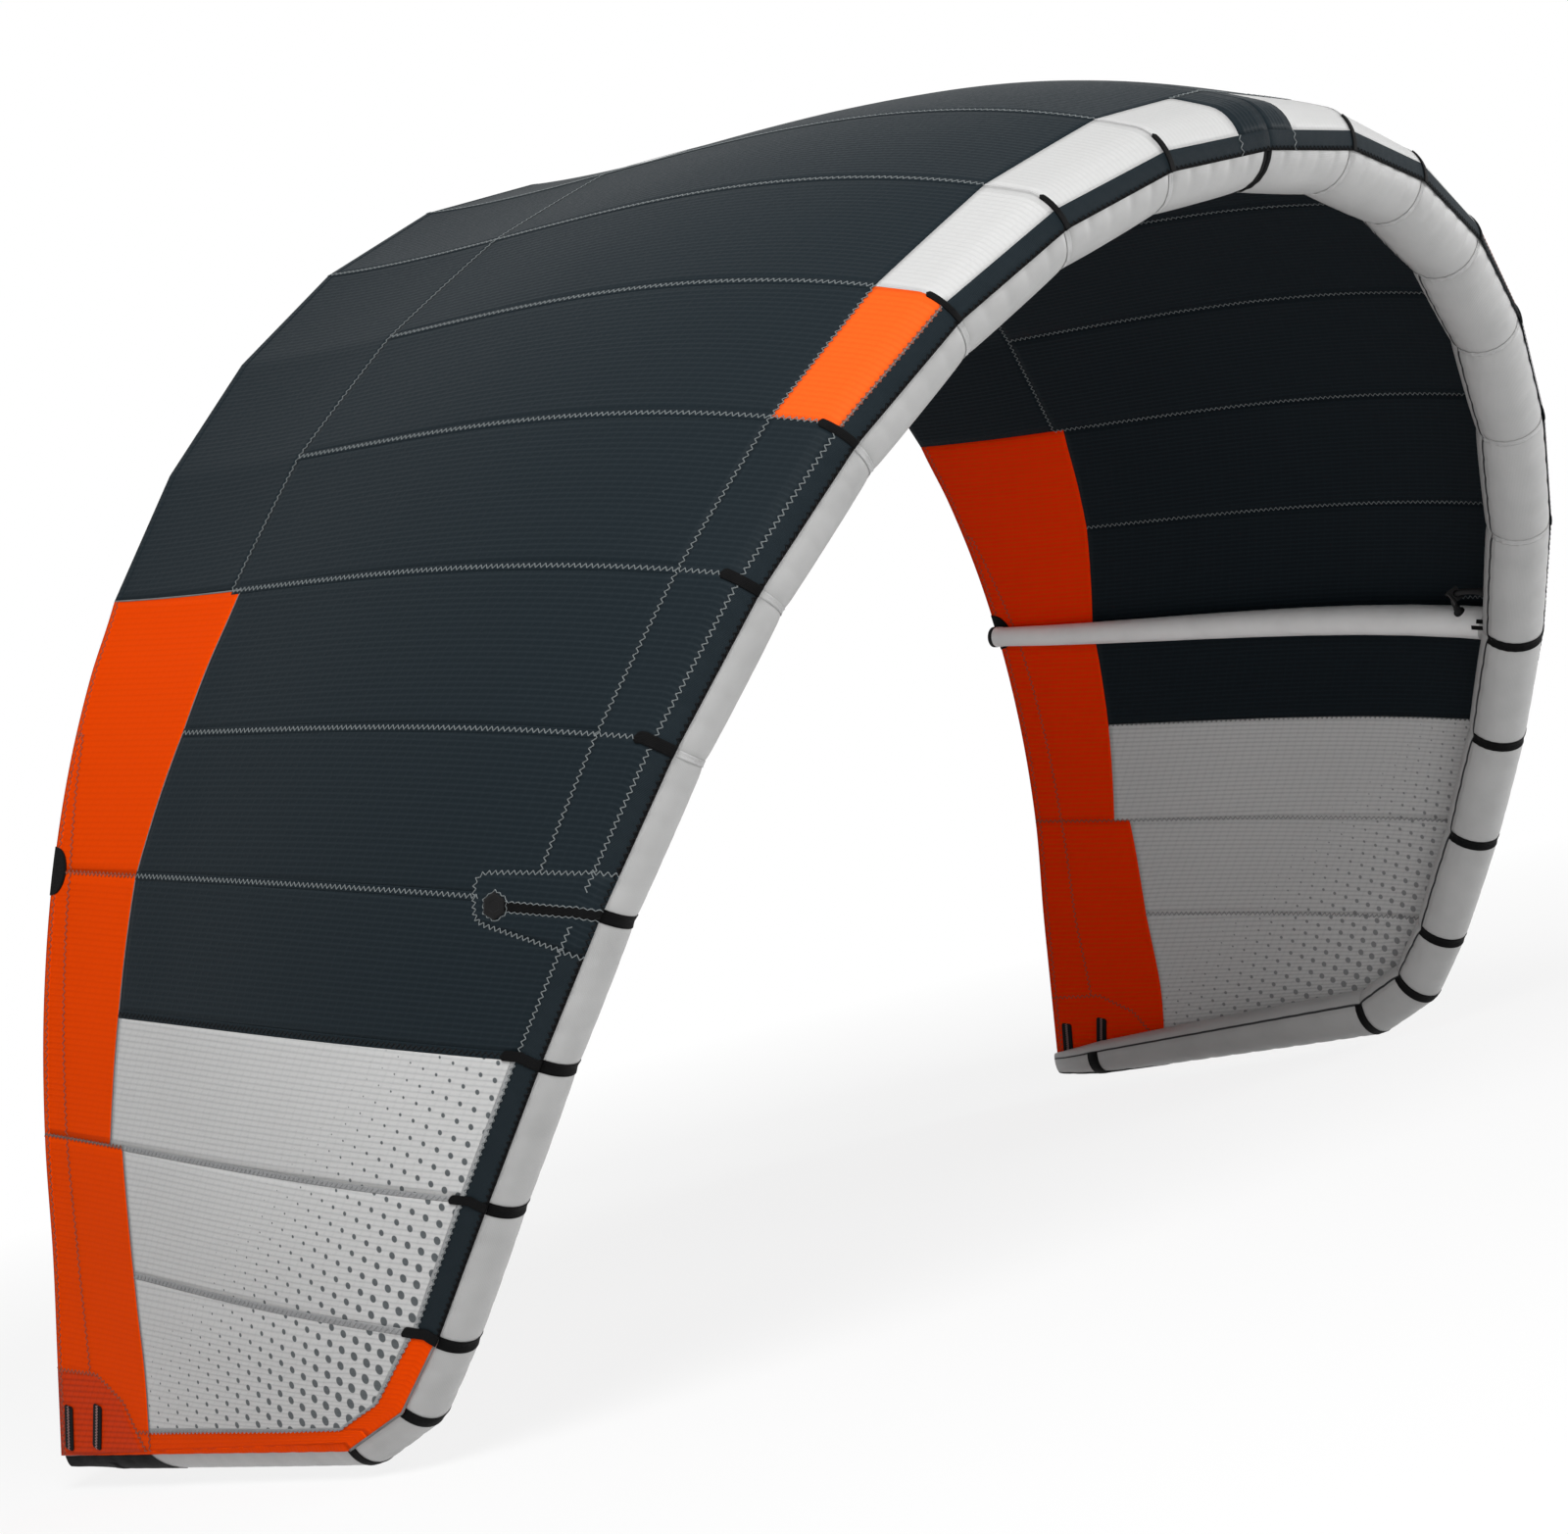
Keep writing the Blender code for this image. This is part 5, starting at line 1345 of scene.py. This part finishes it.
# Air lines: a short rubber hose leads from the leading-edge tube into each strut, so that one valve fills all
# of them. A moulded socket holds it at each end. A pinch clip of black plastic sits on its middle, and the
# clip's hinged jaw shuts the strut off from the tube.
HOSE_RADIUS = 0.0055
HOSE_OFFSET = 0.085                     # of its foot, beside the strut's seam
HOSE_REACH = 0.075                      # behind the place where the strut comes clear of the tube
CLEAR_STEP = 0.002                      # of the search for that place
HOSE_FOOT = math.radians(22)            # turns of its ends towards the inside of the kite
HOSE_HEAD = math.radians(26)
HOSE_PULL = 0.055
HOSE_STEPS = 40
HOSE_SIDES = 24
HOSE_UV = (0.0014, 0.004)
SOCKET = ((-0.002, 2.0), (0.0012, 2.0), (0.002, 1.7), (0.0025, 1.3), (0.011, 1.25),
          (0.012, 1.02))                # height, and size beside the hose
HOSE_BLACK = (0.007, 0.007, 0.0075)

hose_finish = moulded("hose_rubber", HOSE_BLACK, PAD_SCUFF, 0.6)
clip_finish = moulded("clip_plastic", PAD_BLACK, PAD_SCUFF, 0.4)


def hose_ends(line, number):
    """Places and ways where a hose leaves the tube and enters its strut."""
    station = STATIONS[number]
    towards = LE_WAYS[0] if number == 0 else -LE_WAYS[number - 1]
    foot_way = math.cos(HOSE_FOOT) * station.back - math.sin(HOSE_FOOT) * station.out
    foot_way = (foot_way - towards * foot_way.dot(towards)).normalized()
    share = HOSE_OFFSET / LE_PANELS[0]
    radius = station.radius + (STATIONS[abs(number - 1)].radius - station.radius) * share
    foot = station.axis + towards * HOSE_OFFSET + foot_way * radius
    leaves = line.first
    while True:
        reach = line.frame(leaves)[0] - station.axis
        reach -= station.along * reach.dot(station.along)
        if reach.length > station.radius:
            break
        leaves += CLEAR_STEP
    point, _, across, out = line.frame(leaves + HOSE_REACH)
    inboard = across if number == 0 else -across
    head_way = math.cos(HOSE_HEAD) * inboard - math.sin(HOSE_HEAD) * out
    return foot, foot_way, point + head_way * line.radius(leaves + HOSE_REACH), head_way


def hose_grid(path, sizes):
    """Rings square to a path, each of its own radius."""
    rings, across = [], (path[1] - path[0]).orthogonal().normalized()
    for number, (point, size) in enumerate(zip(path, sizes)):
        way = (path[min(number + 1, len(path) - 1)] - path[max(number - 1, 0)]).normalized()
        across = (across - way * across.dot(way)).normalized()
        over = way.cross(across)
        turns = [-math.tau * step / HOSE_SIDES for step in range(HOSE_SIDES + 1)]
        rings.append([point + size * (math.cos(turn) * across - math.sin(turn) * over) for turn in turns])
    return rings


for name, number in STRUT_SEAMS.items():
    side = side_of(name)
    foot, foot_way, head, head_way = hose_ends(STRUTS[name], number)
    handles = [foot, foot + foot_way * HOSE_PULL, head + head_way * HOSE_PULL, head]
    path = []
    for step in range(HOSE_STEPS + 1):
        t = step / HOSE_STEPS
        weights = ((1 - t) ** 3, 3 * t * (1 - t) ** 2, 3 * t * t * (1 - t), t ** 3)
        path.append(sum((weight * handle for weight, handle in zip(weights, handles)), Vector()))
    grid = hose_grid(path, [HOSE_RADIUS] * len(path))
    piece(f"hose_{name}", grid, HOSE_UV, hose_finish, side, closed=True,
          nodes=[f"air_hose_{name}"])
    for label, base, way in (("foot", foot, foot_way), ("head", head, head_way)):
        sizes = [HOSE_RADIUS * size for _, size in SOCKET]
        grid = hose_grid([base + way * height for height, _ in SOCKET], sizes)
        piece(f"hose_socket_{name}_{label}", grid, HOSE_UV, hose_finish, side, closed=True)


def dressed(node, finish):
    """Material of a solid that shows as it is built."""
    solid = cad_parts[node]
    solid.data.materials.clear()
    solid.data.materials.append(finish)


for name in STRUT_SEAMS:
    dressed(f"hose_clip_{name}", clip_finish)
    dressed(f"hose_clip_jaw_{name}", clip_finish)


# Inflation valve: a black rubber spool welded into the tube's film near mid span, on the inside of the arch.
# A soft flap inside it lets the pump's air in and not out, and a hinged cap with a knob plugs it.
VALVE_ANGLE = math.radians(-30)
VALVE_GAP = 0.0003                      # between the spool and the tube
FLAP_SIDES = 32
FLAP_PROFILE = ((0.0, 0.0014), (0.0112, 0.0014), (0.0116, 0.0017), (0.0116, 0.0023), (0.0110, 0.0025),
                (0.0090, 0.0023), (0.0070, 0.0026), (0.0035, 0.0031), (0.0, 0.0032))    # radius and height
VALVE_BLACK = (0.010, 0.010, 0.011)
FLAP_GREY = (0.05, 0.052, 0.055)

valve_finish = moulded("valve_rubber", VALVE_BLACK, PAD_SCUFF, 0.5)
for node in ("valve_base", "valve_cap"):
    dressed(node, valve_finish)
first, second = STATIONS[1], STATIONS[2]
way = math.cos(VALVE_ANGLE) * (first.back + second.back) + math.sin(VALVE_ANGLE) * (first.out + second.out)
way = (way - LE_WAYS[1] * way.dot(LE_WAYS[1])).normalized()
base = (first.axis + second.axis) / 2 + way * ((first.radius + second.radius) / 2 + VALVE_GAP)
across = LE_WAYS[1].cross(way)
turns = [math.tau * n / FLAP_SIDES for n in range(FLAP_SIDES + 1)]
grid = [[base + way * height + max(radius, 1e-5) * (math.cos(turn) * LE_WAYS[1] + math.sin(turn) * across)
         for turn in turns] for radius, height in FLAP_PROFILE]
uv = [[(turn * radius, height) for turn in turns] for radius, height in FLAP_PROFILE]
piece("valve_disc", grid, uv, moulded("flap_silicone", FLAP_GREY, PAD_SCUFF, 0.4), closed=True,
      nodes=["valve_flap"])


# Wing tips: a patch of tough black cloth wraps the end of the tube where it drags on the beach. Two webbing
# straps are sewn through the tip of the canopy, with a zigzag of thread down each, for the steering lines.
WEAR_EDGE = ((95, 0.27), (165, 0.32), (185, 0.30), (216, 0.15))     # degrees round, metres from the end
WEAR_COLUMNS = 33
WEAR_ROWS = 25
WEAR_LIFT = 0.0010
WEAR_UV = 0.01
STRAP_WIDTH = 0.024
STRAP_LENGTH = 0.074
STRAP_THICK = 0.0016
STRAP_ABOVE = 0.010
STRAP_OFF = 0.0012
STRAP_ROWS = 23
STRAP_COLUMNS = 9
STRAP_CROWN = 0.0003
STRAP_END = (0.92, 0.25)                # share of its half length past which it narrows, and by what share
STRAP_STITCHES = 30
STRAP_ZIGZAG = 0.0030                   # of its thread, to either side
STRAP_THREAD_OFF = 0.0006
STRAP_THREAD_HEIGHT = 0.5               # of the thread's width
STRAPS = {"rear": 0.030, "front": 0.115}    # from the trailing edge
STRAP_THREAD = (0.32, 0.20, 0.19)
WEBBING_BLACK = (0.0045, 0.0045, 0.005)
WEBBING_RIB = (0.012, 0.012, 0.013)

strap_thread = thread("strap_thread", STRAP_THREAD)
webbing = taped("webbing", WEBBING_BLACK, WEBBING_RIB)
wear_cloth = taped("wear_cloth", TAPE_BLACK, WEBBING_RIB)
for side in SIDES:
    degrees = np.linspace(WEAR_EDGE[-1][0], WEAR_EDGE[0][0], WEAR_COLUMNS)
    starts = 1 - np.interp(degrees, *zip(*WEAR_EDGE)) / TIP_TUBE
    grid, uv = [], []
    for row in range(WEAR_ROWS):
        stops = starts + (TIP_SHARE - starts) * row / (WEAR_ROWS - 1)
        grid.append([tube_point(CORNER, float(stop), math.radians(turn), WEAR_LIFT)
                     for stop, turn in zip(stops, degrees)])
        uv.append([(math.radians(turn) * LE_RADIUS_END, WEAR_UV * row) for turn in degrees])
    piece(f"wear_patch_{side}", grid, uv, wear_cloth, side)
    low, high = CANOPY[-1], CANOPY[-2]
    for label, from_rear_edge in STRAPS.items():
        share = 1 - from_rear_edge / low.length
        foot, upper = low.at(share * low.length), high.at(share * high.length)
        rise = (upper - foot).normalized()
        out = low.along(share * low.length).cross(rise)
        out = -out if out.x > 0 else out
        out = (out - rise * out.dot(rise)).normalized()
        across = rise.cross(out)
        for face, facing, off in (("outer", out, STRAP_OFF), ("inner", -out, CLOTH_THICK)):
            centre = foot + rise * (STRAP_ABOVE + STRAP_LENGTH / 2) + facing * (off + STRAP_THICK)
            parts = np.linspace(-1, 1, STRAP_COLUMNS) * (1 if face == "outer" else -1)
            crowned = [facing * STRAP_CROWN * math.cos(math.pi * part / 2) for part in parts]
            grid = []
            for up in np.linspace(-1, 1, STRAP_ROWS):
                narrowed = STRAP_END[1] * max(abs(up) - STRAP_END[0], 0) / (1 - STRAP_END[0])
                half = STRAP_WIDTH / 2 * (1 - narrowed)
                middle = centre + rise * up * STRAP_LENGTH / 2
                grid.append([middle + across * half * part + crown for part, crown in zip(parts, crowned)])
            uv = (STRAP_WIDTH / (STRAP_COLUMNS - 1), STRAP_LENGTH / (STRAP_ROWS - 1))
            nodes = [f"line_strap_{side}_{label}"] if face == "outer" else ()
            strap = piece(f"strap_{side}_{label}_{face}", grid, uv, webbing, side, nodes=nodes)
            thick(strap, STRAP_THICK)
            knots = []
            for n in range(STRAP_STITCHES + 1):
                place = centre + facing * STRAP_THREAD_OFF + rise * STRAP_LENGTH * (n / STRAP_STITCHES - 0.5)
                knots.append(place + across * STRAP_ZIGZAG * (-1) ** n)
            runs = []
            for start, end in zip(knots, knots[1:]):
                beside = (end - start).cross(facing).normalized() * THREAD / 2
                steps = (-beside, facing * STRAP_THREAD_HEIGHT * THREAD, beside)
                runs.append([place + step for place in (start, end) for step in steps])
            sewn(f"strap_stitch_{side}_{label}_{face}", side, [np.array(runs)], strap_thread)


# Studio: a wide pale floor that fades into a white backdrop, a large soft lamp high on the camera's left, a
# weak one low in front, one at the right edge, and an even light all round. The camera stands where the
# photo was taken from, a little rolled.
CAMERA_PLACE = (-4.945, -4.905, 0.946)
CAMERA_RIGHT = (0.65736, -0.71081, -0.25027)
CAMERA_UP = (0.18212, -0.17242, 0.96804)
CAMERA_LENS = 87.75                     # millimetres, as is the width of the frame behind it
CAMERA_FRAME = 36.0
FLOOR_LEVEL = -0.012
FLOOR_RADIUS = 30.0
FLOOR_SIDES = 64
FLOOR_FADE = (2.2, 5.0)                 # distances over which it goes over into the backdrop
FLOOR_GLOW = 0.84                       # share of the backdrop's white under the kite
FLOOR_PALE = (0.88, 0.88, 0.88)
LAMP_AIM = Vector((0.0, -0.7, 1.0))
LAMPS = {"key_lamp": ((-4.4, -4.3, 6.6), 4.0, 520.0),       # place, width and power
         "front_lamp": ((-4.2, -6.4, 1.6), 3.0, 100.0),
         "edge_lamp": ((5.0, -4.3, 1.5), 2.4, 170.0)}
ROUND_LIGHT = 0.20


def seen_directly(tree):
    """Mask of the rays that see a backdrop as it is: the camera's, reflected ones and those through glass."""
    path = tree.nodes.new("ShaderNodeLightPath")
    seen = maths("MAXIMUM", path.outputs["Is Camera Ray"], path.outputs["Is Glossy Ray"])
    return maths("MAXIMUM", seen, path.outputs["Is Transmission Ray"])


floor_mesh = bpy.data.meshes.new("floor")
turns = [math.tau * n / FLOOR_SIDES for n in range(FLOOR_SIDES)]
floor_rim = [(FLOOR_RADIUS * math.cos(turn), FLOOR_RADIUS * math.sin(turn), FLOOR_LEVEL) for turn in turns]
floor_mesh.from_pydata(floor_rim, [], [list(range(FLOOR_SIDES))])
floor = bpy.data.objects.new("floor", floor_mesh)
bpy.context.scene.collection.objects.link(floor)
floor_finish = bpy.data.materials.new("pale_floor")
floor_finish.use_nodes = True
tree = floor_finish.node_tree
tree.nodes.remove(tree.nodes["Principled BSDF"])
matt = tree.nodes.new("ShaderNodeBsdfDiffuse")
matt.inputs["Color"].default_value = (*FLOOR_PALE, 1.0)
glow = tree.nodes.new("ShaderNodeEmission")
where = tree.nodes.new("ShaderNodeTexCoord")
away = tree.nodes.new("ShaderNodeVectorMath")
away.operation = "LENGTH"
tree.links.new(where.outputs["Object"], away.inputs[0])
fade = tree.nodes.new("ShaderNodeMapRange")
fade.inputs["From Min"].default_value, fade.inputs["From Max"].default_value = FLOOR_FADE
fade.inputs["To Min"].default_value = FLOOR_GLOW
tree.links.new(away.outputs["Value"], fade.inputs["Value"])
mix = tree.nodes.new("ShaderNodeMixShader")
tree.links.new(times(fade.outputs[0], seen_directly(tree)), mix.inputs[0])
tree.links.new(matt.outputs[0], mix.inputs[1])
tree.links.new(glow.outputs[0], mix.inputs[2])
tree.links.new(mix.outputs[0], tree.nodes["Material Output"].inputs[0])
floor_mesh.materials.append(floor_finish)
floor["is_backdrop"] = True

world = bpy.data.worlds.new("studio")
world.use_nodes = True
bpy.context.scene.world = world
tree = world.node_tree
backdrop = tree.nodes["Background"]
backdrop.inputs["Color"].default_value = (1.0, 1.0, 1.0, 1.0)
strength = times_plus(seen_directly(tree), 1.0 - ROUND_LIGHT, ROUND_LIGHT)
tree.links.new(strength, backdrop.inputs["Strength"])

for name, (place, size, power) in LAMPS.items():
    lamp = bpy.data.objects.new(name, bpy.data.lights.new(name, "AREA"))
    lamp.data.shape = "DISK"
    lamp.data.size = size
    lamp.data.energy = power
    lamp.location = place
    lamp.rotation_euler = (LAMP_AIM - Vector(place)).to_track_quat("-Z", "Y").to_euler()
    bpy.context.scene.collection.objects.link(lamp)

camera = bpy.data.objects.new("camera", bpy.data.cameras.new("camera"))
camera.data.lens = CAMERA_LENS
camera.data.sensor_width = CAMERA_FRAME
right, up = Vector(CAMERA_RIGHT), Vector(CAMERA_UP)
turn = Matrix((right, up, right.cross(up))).transposed().to_4x4()
camera.matrix_world = Matrix.Translation(CAMERA_PLACE) @ turn
bpy.context.scene.collection.objects.link(camera)
bpy.context.scene.camera = camera
bpy.context.scene.view_settings.view_transform = "Standard"

sizes = {"cad": [list(corner) for corner in cad_box], "visual": [list(corner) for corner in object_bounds()]}
